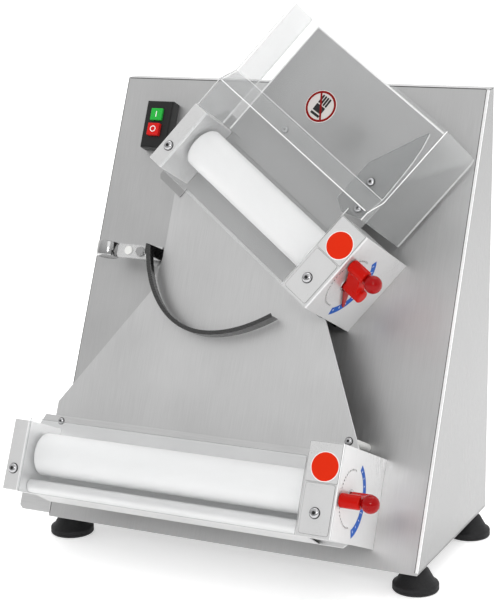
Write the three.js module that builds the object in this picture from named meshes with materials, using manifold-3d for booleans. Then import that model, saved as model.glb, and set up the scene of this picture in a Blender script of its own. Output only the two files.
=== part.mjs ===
// A counter-top dough sheeter with two pairs of rollers, in millimetres, +Z up.
// The wedge-shaped cabinet stands on four feet. Its sloping front carries two roller groups built alike:
// a short one turned about the panel's normal at the top, and a long level one at the bottom.
// Dough goes in under the clear hood, drops down the chute past a weighted rocker that turns it,
// and leaves under the lower roller. Each group has a lever that opens and closes its rollers.
// Frame: +X to the operator's right, +Y away from the operator, origin on the ground at the centre of the footprint.
import * as THREE from "three";
import { mergeVertices } from "three/addons/utils/BufferGeometryUtils.js";
import Module from "manifold-3d";

const wasm = await Module();
wasm.setup();

// ---- Driving dimensions -----------------------------------------------------------------------
const SHEET = 1.5; // steel sheet
const CLEAR_SHEET = 2; // clear plastic
const GAP = 0.3; // air between pieces that lie on each other
const CABINET = { width: 450, height: 485.8, baseDepth: 231.6, topDepth: 16 };
const FOOT = { height: 27.5, radius: 25, fromSide: 12.5, frontY: 31, rearY: 208 };
const TILT = Math.atan((CABINET.baseDepth - CABINET.topDepth) / CABINET.height);
const SLOPE_LENGTH = CABINET.height / Math.cos(TILT);
const UPPER_TURN = THREE.MathUtils.degToRad(-35.46);

// A roller group's own frame: x = 0 is the outer face of its dial wall and the rollers run towards -x,
// y is up the panel's slope, z is out from the panel's face.
const GROUP = {
  depth: 126, // front faces
  plate: 57, // front face of the backing plate
  bottom: 20,
  dialTop: 116,
  leftTop: 97,
  dialBox: 38.5, // width of the box behind the dial
  leftFlange: 18.5,
  plateBottom: 3,
  plateRise: 15.5, // its lower edge between the walls
  plateTop: 112,
  plateEar: 36, // how far the backing plate passes the left wall
  plateStep: 3, // how far inside the left wall its lower edge steps up
  plateEnd: 8, // how far it stops short of the dial face
};
const AXIS = { y: 65, rearZ: 40, leverZ: 89 };
const ROLLER = { radius: 23.2, endGap: 3, boreRadius: 8.3, endRound: 3 };
const SHAFT = { bodyRadius: 8, journalRadius: 6, fit: 0.1 };
const GEAR = { teeth: 19, rootRadius: 20.6, pitchRadius: 23.75, tipRadius: 26, width: 7.8 };
const TOOTH = { root: 4.9, pitch: 3.1, tip: 1.5 }; // widths round the gear
const CARRIER = { halfY: 15, halfZ: 16, keyY: 9, keyZ: 11, travel: 2.4 };
const CAM = { radius: 8, offset: 1.8, play: 0.4 };
// The lever turns by halfTravel to each side of midAngle, at which its cam is half way.
const LEVER = { arm: 29.5, barrel: 7.5, hubLength: 24, pointer: 36, midAngle: 90, halfTravel: 80 };
const BALL = { radius: 9.5, x: 32.6 };
const PULLEY = { seat: 17, flange: 20.5, belt: 2.2, from: -30, to: -16 };
const MOTOR = { z: -50, radius: 35, length: 88, gearbox: 30 };

// The long level group and the short turned one.
const LOWER = { inner: 328.5, u: 172.8, v: 0, turn: 0, leverAngle: 98, motorY: 100 };
const UPPER = { inner: 203, u: 94.4, v: 232.4, turn: UPPER_TURN, leverAngle: 50, motorY: 10 };

const STEEL = { color: 0xb9bbbd, roughness: 0.35, metalness: 1 };
const POLISHED = { color: 0xd5d6d8, roughness: 0.12, metalness: 1 };
const WHITE = { color: 0xf1f1ef, roughness: 0.45, metalness: 0 };
const RED = { color: 0xd8200e, roughness: 0.25, metalness: 0 };
const GREEN = { color: 0x35b24a, roughness: 0.4, metalness: 0 };
const BLACK = { color: 0x151515, roughness: 0.6, metalness: 0 };
const GREY_PAINT = { color: 0x6b7075, roughness: 0.5, metalness: 0.2 };
const CLEAR = { color: 0xeef4f6, roughness: 0.05, metalness: 0, transparent: true, opacity: 0.3 };

// ---- Solids -----------------------------------------------------------------------------------
function toSolid(geometry) {
  const bare = geometry.clone();
  bare.deleteAttribute("normal");
  bare.deleteAttribute("uv");
  const merged = mergeVertices(bare, 1e-4);
  const vertProperties = merged.attributes.position.array;
  const triVerts = new Uint32Array(merged.index.array);
  return new wasm.Manifold(new wasm.Mesh({ numProp: 3, vertProperties, triVerts }));
}

function toGeometry(solid) {
  const mesh = solid.getMesh();
  const geometry = new THREE.BufferGeometry();
  geometry.setAttribute("position", new THREE.BufferAttribute(mesh.vertProperties, 3));
  geometry.setIndex(new THREE.BufferAttribute(mesh.triVerts, 1));
  geometry.computeVertexNormals();
  return geometry;
}

function join(first, ...others) {
  return toGeometry(others.reduce((sum, other) => sum.add(toSolid(other)), toSolid(first)));
}

function cut(body, ...tools) {
  return toGeometry(tools.reduce((rest, tool) => rest.subtract(toSolid(tool)), toSolid(body)));
}

// A block between two values on each axis.
function block([x0, x1], [y0, y1], [z0, z1]) {
  const geometry = new THREE.BoxGeometry(x1 - x0, y1 - y0, z1 - z0);
  return geometry.translate((x0 + x1) / 2, (y0 + y1) / 2, (z0 + z1) / 2);
}

// A round bar along x.
function bar(radius, [x0, x1], y, z, sides = 24) {
  const geometry = new THREE.CylinderGeometry(radius, radius, x1 - x0, sides);
  return geometry.rotateZ(-Math.PI / 2).translate((x0 + x1) / 2, y, z);
}

// A round bar along z.
function post(radius, [z0, z1], x, y, sides = 24) {
  const geometry = new THREE.CylinderGeometry(radius, radius, z1 - z0, sides);
  return geometry.rotateX(Math.PI / 2).translate(x, y, (z0 + z1) / 2);
}

// A turned piece along x, from a profile of [radius, x] that rises with x.
function turned(profile, y, z, sides = 28) {
  const points = profile.map(([radius, x]) => new THREE.Vector2(radius, x));
  return new THREE.LatheGeometry(points, sides).rotateZ(-Math.PI / 2).translate(0, y, z);
}

function outlineOf(points) {
  return new THREE.Shape(points.map(([x, y]) => new THREE.Vector2(x, y)));
}

// A flat plate between two z values, from an outline in x and y.
function plate(shape, [z0, z1], curveSegments = 8) {
  const geometry = new THREE.ExtrudeGeometry(shape, { depth: z1 - z0, bevelEnabled: false, curveSegments });
  return geometry.translate(0, 0, z0);
}

// A bar between two x values whose section is an outline in y and z.
function section(shape, [x0, x1], curveSegments = 8) {
  const geometry = plate(shape, [x0, x1], curveSegments);
  const turn = new THREE.Matrix4();
  turn.makeBasis(new THREE.Vector3(0, 1, 0), new THREE.Vector3(0, 0, 1), new THREE.Vector3(1, 0, 0));
  return geometry.applyMatrix4(turn);
}

// The outline of a sheet folded along a line of points, its thickness laid off to the line's left.
function foldedOutline(line, thickness) {
  const points = line.map(([x, y]) => new THREE.Vector2(x, y));
  const normals = points.slice(1).map((point, i) => {
    const along = point.clone().sub(points[i]).normalize();
    return new THREE.Vector2(-along.y, along.x);
  });
  const inner = points.map((point, i) => {
    const before = normals[Math.max(i - 1, 0)];
    const after = normals[Math.min(i, normals.length - 1)];
    const mitre = before.clone().add(after).normalize();
    return point.clone().addScaledVector(mitre, thickness / mitre.dot(after));
  });
  return new THREE.Shape([...points, ...inner.reverse()]);
}

function node(parent, name, geometry, finish) {
  const mesh = new THREE.Mesh(geometry, new THREE.MeshStandardMaterial(finish));
  mesh.name = name;
  parent.add(mesh);
  return mesh;
}

// ---- Frames -----------------------------------------------------------------------------------
const frontReach = GROUP.bottom * Math.sin(TILT) - GROUP.depth * Math.cos(TILT);
const GLAND_LENGTH = 12;
const backReach = CABINET.baseDepth + GLAND_LENGTH;

const sheeter = new THREE.Group();
const cabinet = new THREE.Group(); // y = 0 and z = 0 at the cabinet's front bottom edge
cabinet.position.set(0, -(frontReach + backReach) / 2, FOOT.height);
sheeter.add(cabinet);

const front = new THREE.Group(); // x across, y up the slope, z out from the panel's face
front.rotation.x = Math.PI / 2 - TILT;
cabinet.add(front);

function groupFrame({ u, v, turn }) {
  const frame = new THREE.Group();
  frame.position.set(u, v, 0);
  frame.rotation.z = turn;
  frame.updateMatrix();
  front.add(frame);
  return frame;
}
const lowerFrame = groupFrame(LOWER);
const upperFrame = groupFrame(UPPER);

// ---- Cabinet ----------------------------------------------------------------------------------
// A point given as depth and height, in the front panel's frame.
function onSlope(y, z) {
  return [y * Math.sin(TILT) + z * Math.cos(TILT), z * Math.sin(TILT) - y * Math.cos(TILT)];
}

// The window through which a group's belt passes the panel, at z = 0 on the line between its pulleys.
function beltWindow({ motorY }, frame) {
  const share = AXIS.rearZ / (AXIS.rearZ - MOTOR.z);
  const y = AXIS.y + (motorY - AXIS.y) * share;
  const lean = Math.atan2(Math.abs(motorY - AXIS.y), AXIS.rearZ - MOTOR.z);
  const half = (PULLEY.seat + PULLEY.belt + 1) / Math.cos(lean) + 3;
  const tool = block([PULLEY.from - 1, PULLEY.to + 1], [y - half, y + half], [-10, 10]);
  return tool.applyMatrix4(frame.matrix);
}

function frontPanel() {
  const rearEdge = CABINET.baseDepth - SHEET - GAP;
  const slopeFoot = SHEET / Math.cos(TILT);
  const under = CABINET.height - SHEET;
  const profile = [
    [0, 0],
    [slopeFoot, 0],
    [under * Math.tan(TILT) + slopeFoot, under],
    [rearEdge, under],
    [rearEdge, CABINET.height],
    [CABINET.baseDepth - CABINET.topDepth, CABINET.height],
  ].map(([y, z]) => onSlope(y, z));
  const half = CABINET.width / 2;
  const sheet = section(outlineOf(profile), [-half, half]);
  return cut(sheet, beltWindow(LOWER, lowerFrame), beltWindow(UPPER, upperFrame));
}

function sidePanel(outerX, innerX) {
  const set = (SHEET + GAP) / Math.cos(TILT);
  const low = SHEET + GAP;
  const high = CABINET.height - SHEET - GAP;
  const rear = CABINET.baseDepth - SHEET - GAP;
  const wedge = outlineOf([
    [low * Math.tan(TILT) + set, low],
    [rear, low],
    [rear, high],
    [high * Math.tan(TILT) + set, high],
  ]);
  return section(wedge, [Math.min(outerX, innerX), Math.max(outerX, innerX)]);
}

function foot(x, y) {
  const { height, radius } = FOOT;
  const profile = [
    [0, -height],
    [radius - 1, -height],
    [radius, -height + 1],
    [radius, -height + 7.5],
    [radius - 2, -height + 9],
    [14, -5],
    [9, -GAP],
    [0, -GAP],
  ].map(([r, z]) => new THREE.Vector2(r, z));
  const geometry = new THREE.LatheGeometry(profile, 20).rotateX(Math.PI / 2);
  return geometry.translate(x, y, 0);
}

function cableGland() {
  const face = CABINET.baseDepth + GAP;
  const flange = new THREE.CylinderGeometry(11, 11, 5, 6).translate(150, face + 2.5, 60);
  const noseLength = GLAND_LENGTH - 5;
  const noseMiddle = CABINET.baseDepth + GLAND_LENGTH - noseLength / 2;
  const nose = new THREE.CylinderGeometry(8, 9, noseLength, 16).translate(150, noseMiddle, 60);
  return join(flange, nose);
}

function buildCabinet() {
  const half = CABINET.width / 2;
  node(front, "front_panel", frontPanel(), STEEL);
  node(cabinet, "left_side_panel", sidePanel(-half, -half + SHEET), STEEL);
  node(cabinet, "right_side_panel", sidePanel(half, half - SHEET), STEEL);
  const back = block([-half, half], [CABINET.baseDepth - SHEET, CABINET.baseDepth], [0, CABINET.height]);
  node(cabinet, "back_panel", back, STEEL);
  const baseFront = SHEET / Math.cos(TILT) + SHEET * Math.tan(TILT) + GAP;
  const base = block([-half, half], [baseFront, CABINET.baseDepth - SHEET - GAP], [0, SHEET]);
  node(cabinet, "base_plate", base, STEEL);
  const footX = half - FOOT.fromSide;
  node(cabinet, "foot_front_left", foot(-footX, FOOT.frontY), BLACK);
  node(cabinet, "foot_front_right", foot(footX, FOOT.frontY), BLACK);
  node(cabinet, "foot_rear_left", foot(-footX, FOOT.rearY), BLACK);
  node(cabinet, "foot_rear_right", foot(footX, FOOT.rearY), BLACK);
  node(cabinet, "cable_gland", cableGland(), BLACK);
}

// ---- Switch -----------------------------------------------------------------------------------
const SWITCH = { u: -167, v: 469.5, width: 34, height: 57, depth: 18, bevel: 4 };
const BUTTON = { width: 15, height: 14.5, startV: 480, stopV: 461.5, startOut: 3.5, stopOut: 5.5 };

function switchHousing() {
  const { u, v, width, height, depth, bevel } = SWITCH;
  const outline = outlineOf([
    [-width / 2, -height / 2],
    [width / 2, -height / 2],
    [width / 2, height / 2],
    [-width / 2, height / 2],
  ]);
  const settings = { depth: depth - bevel, bevelThickness: bevel, bevelSize: bevel };
  settings.bevelOffset = -bevel;
  settings.bevelSegments = 2;
  const body = new THREE.ExtrudeGeometry(outline, settings).translate(u, v, GAP);
  const behind = block([u - width, u + width], [v - height, v + height], [-20, GAP]);
  const wells = [BUTTON.startV, BUTTON.stopV].map((y) => {
    const halfX = BUTTON.width / 2 + GAP;
    const halfY = BUTTON.height / 2 + GAP;
    return block([u - halfX, u + halfX], [y - halfY, y + halfY], [depth - 8, depth + 5]);
  });
  return cut(body, behind, ...wells);
}

function button(v, out) {
  const { u, depth } = SWITCH;
  const { width, height } = BUTTON;
  const foot = depth - 4.5;
  return block([u - width / 2, u + width / 2], [v - height / 2, v + height / 2], [foot, depth + out]);
}

function buildSwitch() {
  node(front, "switch_housing", switchHousing(), BLACK);
  node(front, "start_button", button(BUTTON.startV, BUTTON.startOut), GREEN);
  node(front, "stop_button", button(BUTTON.stopV, BUTTON.stopOut), RED);
}

// ---- Chute and rocker -------------------------------------------------------------------------
const CHUTE = { back: 53.6, front: 55.1, bottom: 108 };
const STANDOFF = { u: 148.3, v: 125.4, radius: 5 };

// The chute narrows upwards from the lower group's width and is cut off along the upper group.
function chutePlate() {
  const outline = outlineOf([
    [-206.4, CHUTE.bottom],
    [166, CHUTE.bottom],
    [129.5, 188],
    [97.5, 258],
    [-106, 403],
    [-106, 309],
    [-113, 265],
    [-206.4, 128],
  ]);
  return plate(outline, [CHUTE.back, CHUTE.front]);
}

const ROCKER = {
  pivotU: -145.2,
  pivotV: 311,
  barHalf: 8,
  neckHalf: 5, // the bar narrows to a neck inside the weight
  barBack: 34,
  barFront: 37,
  bandBack: 58.4,
  bandFront: 74,
};

// The band's outer edge: down from the bar, round and up again to its free end.
function bandEdge() {
  const edge = new THREE.CurvePath();
  const point = (u, v) => new THREE.Vector2(u, v);
  edge.add(new THREE.CubicBezierCurve(point(-119.5, 312), point(-114, 264), point(-82, 216), point(-28, 218.5)));
  edge.add(new THREE.QuadraticBezierCurve(point(-28, 218.5), point(8, 220), point(47, 245)));
  return edge;
}

// A strip of the given width lying inside the band's outer edge.
function bandStrip(width, steps = 18) {
  const outer = [];
  const inner = [];
  const edge = bandEdge();
  edge.curves.forEach((curve, index) => {
    for (let i = index === 0 ? 0 : 1; i <= steps; i += 1) {
      const at = curve.getPoint(i / steps);
      const along = curve.getTangent(i / steps);
      outer.push(at);
      inner.push(new THREE.Vector2(at.x - along.y * width, at.y + along.x * width));
    }
  });
  return new THREE.Shape([...outer, ...inner.reverse()]);
}

function rockerArm() {
  const { pivotU, pivotV, barHalf, neckHalf, barBack, barFront, bandBack, bandFront } = ROCKER;
  const flatBar = block([-174.5, -118.5], [pivotV - barHalf, pivotV + barHalf], [barBack, barFront]);
  const neck = block([-196.5, -173.5], [pivotV - neckHalf, pivotV + neckHalf], [barBack, barFront]);
  const bracket = block([-120.5, -118.2], [pivotV - barHalf, pivotV + barHalf], [barBack, bandFront - 0.5]);
  const web = plate(bandStrip(1.6), [bandBack, bandFront]);
  const lip = plate(bandStrip(4.6), [bandFront - 1.4, bandFront]);
  const hole = post(4 + SHAFT.fit, [barBack - 5, barFront + 5], pivotU, pivotV);
  return cut(join(flatBar, neck, bracket, web, lip), hole);
}

function rockerPivot() {
  const { pivotU, pivotV, barBack, barFront } = ROCKER;
  const sleeve = post(8, [GAP, barBack - 0.5], pivotU, pivotV);
  const shank = post(4, [barBack - 2, barFront + 1], pivotU, pivotV);
  const head = post(6.6, [barFront + 0.5, barFront + 5], pivotU, pivotV, 6);
  return join(sleeve, shank, head);
}

function rockerWeight() {
  const { pivotV, neckHalf, barBack, barFront } = ROCKER;
  const centreU = -189.5;
  const radius = 13;
  const centreZ = (barBack + barFront) / 2;
  const round = new THREE.CylinderGeometry(radius, radius, 17, 32).translate(centreU, pivotV, centreZ);
  const slotY = [pivotV - neckHalf - GAP, pivotV + neckHalf + GAP];
  return cut(round, block([-196.5 - GAP, -166.5], slotY, [barBack - GAP, barFront + GAP]));
}

function buildChute() {
  const { u, v, radius } = STANDOFF;
  node(front, "chute_plate", chutePlate(), STEEL);
  node(front, "chute_standoff", post(radius, [GAP, CHUTE.back - GAP], u, v), WHITE);
  node(front, "rocker_arm", rockerArm(), STEEL);
  node(front, "rocker_pivot", rockerPivot(), POLISHED);
  node(front, "rocker_weight", rockerWeight(), POLISHED);
}

// ---- Roller groups ----------------------------------------------------------------------------
// Inner face of a group's left wall.
function leftWallX({ inner }) {
  return -(GROUP.dialBox + inner);
}

// The front roller stands out from the middle of its travel in step with the lever's angle at rest.
function frontAxisZ({ leverAngle }) {
  return AXIS.leverZ + (CAM.offset * (LEVER.midAngle - leverAngle)) / LEVER.halfTravel;
}

function backingPlate(spec) {
  const left = leftWallX(spec);
  const { plateBottom, plateRise, plateTop, plateEar, plateStep, plateEnd, plate: face } = GROUP;
  const corner = 4;
  const outline = outlineOf([
    [left - plateEar + corner, plateBottom],
    [left + plateStep, plateBottom],
    [left + plateStep, plateRise],
    [-plateEnd - corner, plateRise],
    [-plateEnd, plateRise + corner],
    [-plateEnd, plateTop],
    [left - plateEar + 12, plateTop],
    [left - plateEar, plateTop - 25],
    [left - plateEar, plateBottom + corner],
  ]);
  const sheet = plate(outline, [face - SHEET, face]);
  const halfSlot = 20.5;
  const through = [face - 10, face + 10];
  const right = -GROUP.dialBox - 1;
  const slot = block([left + 1, right], [AXIS.y - halfSlot, AXIS.y + halfSlot], through);
  const gearHalf = GEAR.tipRadius + 1.5;
  const gearWindow = block([left - 17.5, left - 8.5], [AXIS.y - gearHalf, AXIS.y + gearHalf], through);
  const notchHalf = PULLEY.flange + 3;
  const pulleyNotch = block([PULLEY.from - 2.5, 10], [AXIS.y - notchHalf, AXIS.y + notchHalf], through);
  return cut(sheet, slot, gearWindow, pulleyNotch);
}

// The box between the panel and the backing plate that carries the rear roller.
function rearFrame(spec) {
  const left = leftWallX(spec);
  const depth = [GAP, GROUP.plate - SHEET - GAP];
  const low = 26;
  const high = 104;
  const x0 = left - GROUP.leftFlange;
  const x1 = -GROUP.dialBox + SHEET;
  const shell = cut(
    block([x0, x1], [low, high], depth),
    block([x0 + SHEET, left - SHEET], [low + SHEET, high - SHEET], [-5, 70]),
    block([left, x1 - SHEET], [low + SHEET, high - SHEET], [-5, 70]),
  );
  const leftBoss = bar(12.5, [left - 7, left - 0.5], AXIS.y, AXIS.rearZ);
  const rightBoss = bar(12.5, [x1 - 0.5, x1 + 4.5], AXIS.y, AXIS.rearZ);
  const bore = SHAFT.journalRadius + SHAFT.fit;
  return cut(join(shell, leftBoss, rightBoss), bar(bore, [left - 15, x1 + 10], AXIS.y, AXIS.rearZ));
}

// A slot in which a bearing carrier's key slides as the gap is set.
function keySlot(x0, x1) {
  const y = CARRIER.keyY + GAP;
  const z = CARRIER.keyZ + CARRIER.travel;
  return block([x0, x1], [AXIS.y - y, AXIS.y + y], [AXIS.leverZ - z, AXIS.leverZ + z]);
}

function leftBracket(spec) {
  const left = leftWallX(spec);
  const { bottom, leftTop, depth, leftFlange } = GROUP;
  const foot = GROUP.plate + GAP;
  const wall = block([left - SHEET, left], [bottom, leftTop], [foot, depth]);
  const flange = block([left - leftFlange, left], [bottom, leftTop], [depth - SHEET, depth]);
  return cut(join(wall, flange), keySlot(left - 3, left + 2));
}

function gearCover(spec) {
  const left = leftWallX(spec);
  const { bottom, leftTop, depth, leftFlange } = GROUP;
  const span = [GROUP.plate + GAP, depth - SHEET - GAP];
  const outer = block([left - leftFlange, left - SHEET - GAP], [bottom, leftTop], span);
  const hollow = block([left - leftFlange + SHEET, left + 5], [bottom + SHEET, leftTop - SHEET], [0, 200]);
  return cut(outer, hollow);
}

function dialBracket() {
  const { bottom, dialTop, depth, dialBox } = GROUP;
  const foot = GROUP.plate + GAP;
  const box = cut(
    block([-dialBox, 0], [bottom, dialTop], [foot, depth]),
    block([-dialBox + SHEET, -SHEET], [bottom + SHEET, dialTop - SHEET], [0, depth - SHEET]),
  );
  const dialWall = block([-SHEET, 0], [bottom, dialTop], [GAP, depth - 1]);
  const pivotHole = bar(5 + SHAFT.fit, [-5, 5], AXIS.y, AXIS.leverZ);
  return cut(join(box, dialWall), keySlot(-dialBox - 2, -dialBox + 3), pivotHole);
}

function rollerProfile(spec, bore) {
  const { radius, endGap, endRound } = ROLLER;
  const x0 = leftWallX(spec) + endGap;
  const x1 = -GROUP.dialBox - endGap;
  const steps = 2;
  const round = (centreX, fromAngle) =>
    Array.from({ length: steps + 1 }, (_, i) => {
      const angle = fromAngle + (i / steps) * (Math.PI / 2);
      return [radius - endRound - endRound * Math.sin(angle), centreX + endRound * Math.cos(angle)];
    });
  const leftEnd = round(x0 + endRound, Math.PI);
  const rightEnd = round(x1 - endRound, 1.5 * Math.PI);
  return [[bore, x0], ...leftEnd, ...rightEnd, [bore, x1]];
}

function frontRoller(spec, z) {
  const profile = rollerProfile(spec, ROLLER.boreRadius);
  return turned([...profile, profile[0]], AXIS.y, z);
}

function frontShaft(spec, z) {
  const left = leftWallX(spec);
  const { bodyRadius, journalRadius } = SHAFT;
  const bodyFrom = left + 0.8;
  const bodyTo = -GROUP.dialBox - 0.8;
  const profile = [
    [0, left - 16.5],
    [journalRadius, left - 16.5],
    [journalRadius, bodyFrom],
    [bodyRadius, bodyFrom],
    [bodyRadius, bodyTo],
    [journalRadius, bodyTo],
    [journalRadius, -26],
    [0, -26],
  ];
  return turned(profile, AXIS.y, z, 24);
}

// The rear roller is turned in one piece with its journals.
function rearRoller(spec) {
  const left = leftWallX(spec);
  const { journalRadius } = SHAFT;
  const profile = [
    [0, left - 16.5],
    [journalRadius, left - 16.5],
    ...rollerProfile(spec, journalRadius),
    [journalRadius, PULLEY.to + 2],
    [0, PULLEY.to + 2],
  ];
  return turned(profile, AXIS.y, AXIS.rearZ);
}

// A spur gear along x. Turn 0 puts a tooth towards +y, and half a pitch puts a space there.
function gear(spec, z, turn) {
  const { teeth, rootRadius, pitchRadius, tipRadius, width } = GEAR;
  const pitch = (2 * Math.PI) / teeth;
  const at = (radius, angle) => new THREE.Vector2(radius * Math.cos(angle), radius * Math.sin(angle));
  const points = [];
  for (let i = 0; i < teeth; i += 1) {
    const middle = turn + i * pitch;
    const halfRoot = TOOTH.root / 2 / rootRadius;
    const halfPitch = TOOTH.pitch / 2 / pitchRadius;
    const halfTip = TOOTH.tip / 2 / tipRadius;
    points.push(at(rootRadius, middle - halfRoot));
    points.push(at(pitchRadius, middle - halfPitch));
    points.push(at(tipRadius, middle - halfTip));
    points.push(at(tipRadius, middle + halfTip));
    points.push(at(pitchRadius, middle + halfPitch));
    points.push(at(rootRadius, middle + halfRoot));
  }
  const shape = new THREE.Shape(points);
  const bore = new THREE.Path().absarc(0, 0, SHAFT.journalRadius + GAP, 0, 2 * Math.PI, true);
  shape.holes.push(bore);
  const x0 = leftWallX(spec) - 9 - width;
  return section(shape, [x0, x0 + width], 10).translate(0, AXIS.y, z);
}

// Half-way along the line between the axes a tooth of one gear must face a space of the other.
const REAR_GEAR_TURN = Math.PI / 2;
const FRONT_GEAR_TURN = -Math.PI / 2 + Math.PI / GEAR.teeth;

function pulley(y, z, boreRadius) {
  const { seat, flange, from, to } = PULLEY;
  const lip = 1.6;
  const profile = [
    [boreRadius, from],
    [flange, from],
    [flange, from + lip],
    [seat, from + lip],
    [seat, to - lip],
    [flange, to - lip],
    [flange, to],
    [boreRadius, to],
    [boreRadius, from],
  ];
  return turned(profile, y, z, 20);
}

// The motor's pulley is in one piece with its shaft.
function motorPulley({ motorY }) {
  const stub = bar(SHAFT.journalRadius, [-56, PULLEY.from + 1], motorY, MOTOR.z);
  const hub = bar(SHAFT.journalRadius + 0.5, [PULLEY.from + 0.5, PULLEY.to], motorY, MOTOR.z);
  return join(pulley(motorY, MOTOR.z, SHAFT.journalRadius), hub, stub);
}

// A loop round the two pulleys: two half circles joined by straight runs.
function beltLoop({ motorY }, radius) {
  const angle = Math.atan2(MOTOR.z - AXIS.rearZ, motorY - AXIS.y);
  const loop = new THREE.Shape();
  loop.absarc(AXIS.y, AXIS.rearZ, radius, angle + Math.PI / 2, angle + 1.5 * Math.PI, false);
  loop.absarc(motorY, MOTOR.z, radius, angle - Math.PI / 2, angle + Math.PI / 2, false);
  return loop;
}

function belt(spec) {
  const inner = PULLEY.seat + GAP;
  const loop = beltLoop(spec, inner + PULLEY.belt);
  loop.holes.push(beltLoop(spec, inner));
  return section(loop, [PULLEY.from + 2, PULLEY.to - 2], 10);
}

function gearMotor({ motorY }) {
  const { z, radius, length, gearbox } = MOTOR;
  const x1 = -40;
  const x0 = x1 - 52;
  const box = block([x0, x1], [motorY - gearbox, motorY + gearbox], [z - gearbox, z + gearbox]);
  const foot = block([x0 + 8, x1 - 8], [motorY - 22, motorY + 22], [z + gearbox - 1, -SHEET - GAP]);
  const motor = bar(radius, [x0 - length, x0 + 1], motorY, z);
  const bore = bar(SHAFT.journalRadius + GAP, [-57, 0], motorY, z);
  return cut(join(box, foot, motor), bore);
}

function carrierBlock([x0, x1], keyX, z) {
  const { halfY, halfZ, keyY, keyZ } = CARRIER;
  const body = block([x0, x1], [AXIS.y - halfY, AXIS.y + halfY], [z - halfZ, z + halfZ]);
  const key = block(keyX, [AXIS.y - keyY, AXIS.y + keyY], [z - keyZ, z + keyZ]);
  const bore = bar(SHAFT.journalRadius + SHAFT.fit, [x0 - 10, x1 + 10], AXIS.y, z);
  return cut(join(body, key), bore);
}

function carrierLeft(spec, z) {
  const left = leftWallX(spec);
  return carrierBlock([left - 8.5, left - SHEET - GAP], [left - 3, left - GAP], z);
}

// The right carrier also has the slot that the lever's cam turns in.
function carrierRight(z) {
  const wall = -GROUP.dialBox;
  const bearing = carrierBlock([wall + SHEET + GAP, -25], [wall + GAP, wall + 3], z);
  const { halfY, halfZ } = CARRIER;
  const yoke = block([-25.5, -15], [AXIS.y - halfY, AXIS.y + halfY], [z - halfZ, z + halfZ]);
  const slotZ = CAM.radius + CAM.play;
  const slotY = CAM.radius + CAM.offset + 1.2;
  const slot = block([-24, -10], [AXIS.y - slotY, AXIS.y + slotY], [z - slotZ, z + slotZ]);
  return cut(join(bearing, yoke), slot);
}

// The lever's shaft passes the dial wall and ends in a disc set off its centre.
function camShaft({ leverAngle }) {
  const past = THREE.MathUtils.degToRad(leverAngle - LEVER.midAngle);
  const y = AXIS.y - CAM.offset * Math.cos(past);
  const z = AXIS.leverZ - CAM.offset * Math.sin(past);
  const disc = bar(CAM.radius, [-23.5, -16], y, z);
  const shank = bar(5, [-17, 19], AXIS.y, AXIS.leverZ);
  return join(disc, shank);
}

// The lever is drawn with its plunger towards +y, then turned to its angle.
function turnWithLever(geometry, { leverAngle }) {
  const angle = THREE.MathUtils.degToRad(leverAngle);
  return geometry.rotateX(angle).translate(0, AXIS.y, AXIS.leverZ);
}

function lever(spec) {
  const { arm, barrel, hubLength, pointer } = LEVER;
  const hub = bar(barrel, [1, hubLength], 0, 0, 20);
  const sleeve = bar(barrel, [1, hubLength - 1], arm, 0, 20);
  const web = block([2.5, hubLength - 4], [2, arm - 2], [-5.5, 5.5]);
  const needle = outlineOf([
    [-2, -5],
    [-2, 5],
    [-pointer, 1.2],
    [-pointer, -1.2],
  ]);
  const pointerBlade = section(needle, [1, 3.2]);
  const body = join(hub, sleeve, web, pointerBlade);
  const shaftBore = bar(5 + GAP, [-5, 19 + GAP], 0, 0);
  const plungerBore = bar(3 + SHAFT.fit, [-5, 40], arm, 0, 16);
  return turnWithLever(cut(body, shaftBore, plungerBore), spec);
}

// A pin with a ball knob, pulled out to free the lever.
function plunger(spec) {
  const { radius, x } = BALL;
  const neckAngle = Math.asin(3.6 / radius);
  const steps = 6;
  const ball = Array.from({ length: steps + 1 }, (_, i) => {
    const angle = neckAngle + (i / steps) * (Math.PI - neckAngle);
    return [Math.max(radius * Math.sin(angle), 0), x - radius * Math.cos(angle)];
  });
  ball[steps][0] = 0;
  const profile = [[0, 0.4], [2.2, 0.4], [3, 1.6], [3, x - radius], ...ball];
  return turnWithLever(turned(profile, LEVER.arm, 0, 16), spec);
}

// Builds one group's pieces into its frame and returns nothing.
function buildRollerGroup(name, spec, frame) {
  const z = frontAxisZ(spec);
  const add = (piece, geometry, finish) => node(frame, name + "_" + piece, geometry, finish);
  add("backing_plate", backingPlate(spec), STEEL);
  add("rear_frame", rearFrame(spec), STEEL);
  add("left_bracket", leftBracket(spec), STEEL);
  add("gear_cover", gearCover(spec), STEEL);
  add("dial_bracket", dialBracket(), STEEL);
  add("rear_roller", rearRoller(spec), WHITE);
  add("rear_gear", gear(spec, AXIS.rearZ, REAR_GEAR_TURN), WHITE);
  add("rear_pulley", pulley(AXIS.y, AXIS.rearZ, SHAFT.journalRadius + GAP), POLISHED);
  add("front_roller", frontRoller(spec, z), WHITE);
  add("front_shaft", frontShaft(spec, z), POLISHED);
  add("front_gear", gear(spec, z, FRONT_GEAR_TURN), WHITE);
  add("carrier_left", carrierLeft(spec, z), POLISHED);
  add("carrier_right", carrierRight(z), POLISHED);
  add("cam_shaft", camShaft(spec), POLISHED);
  add("lever", lever(spec), RED);
  add("plunger", plunger(spec), RED);
  add("gear_motor", gearMotor(spec), GREY_PAINT);
  add("motor_pulley", motorPulley(spec), POLISHED);
  add("belt", belt(spec), BLACK);
}

// ---- Guards and sheets of each group ----------------------------------------------------------
const GUARD_TOP = 100;

function lowerGuard() {
  const x = [leftWallX(LOWER) + 0.4, -GROUP.dialBox - 0.4];
  return block(x, [GROUP.bottom, GUARD_TOP], [GROUP.depth - CLEAR_SHEET, GROUP.depth]);
}

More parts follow.
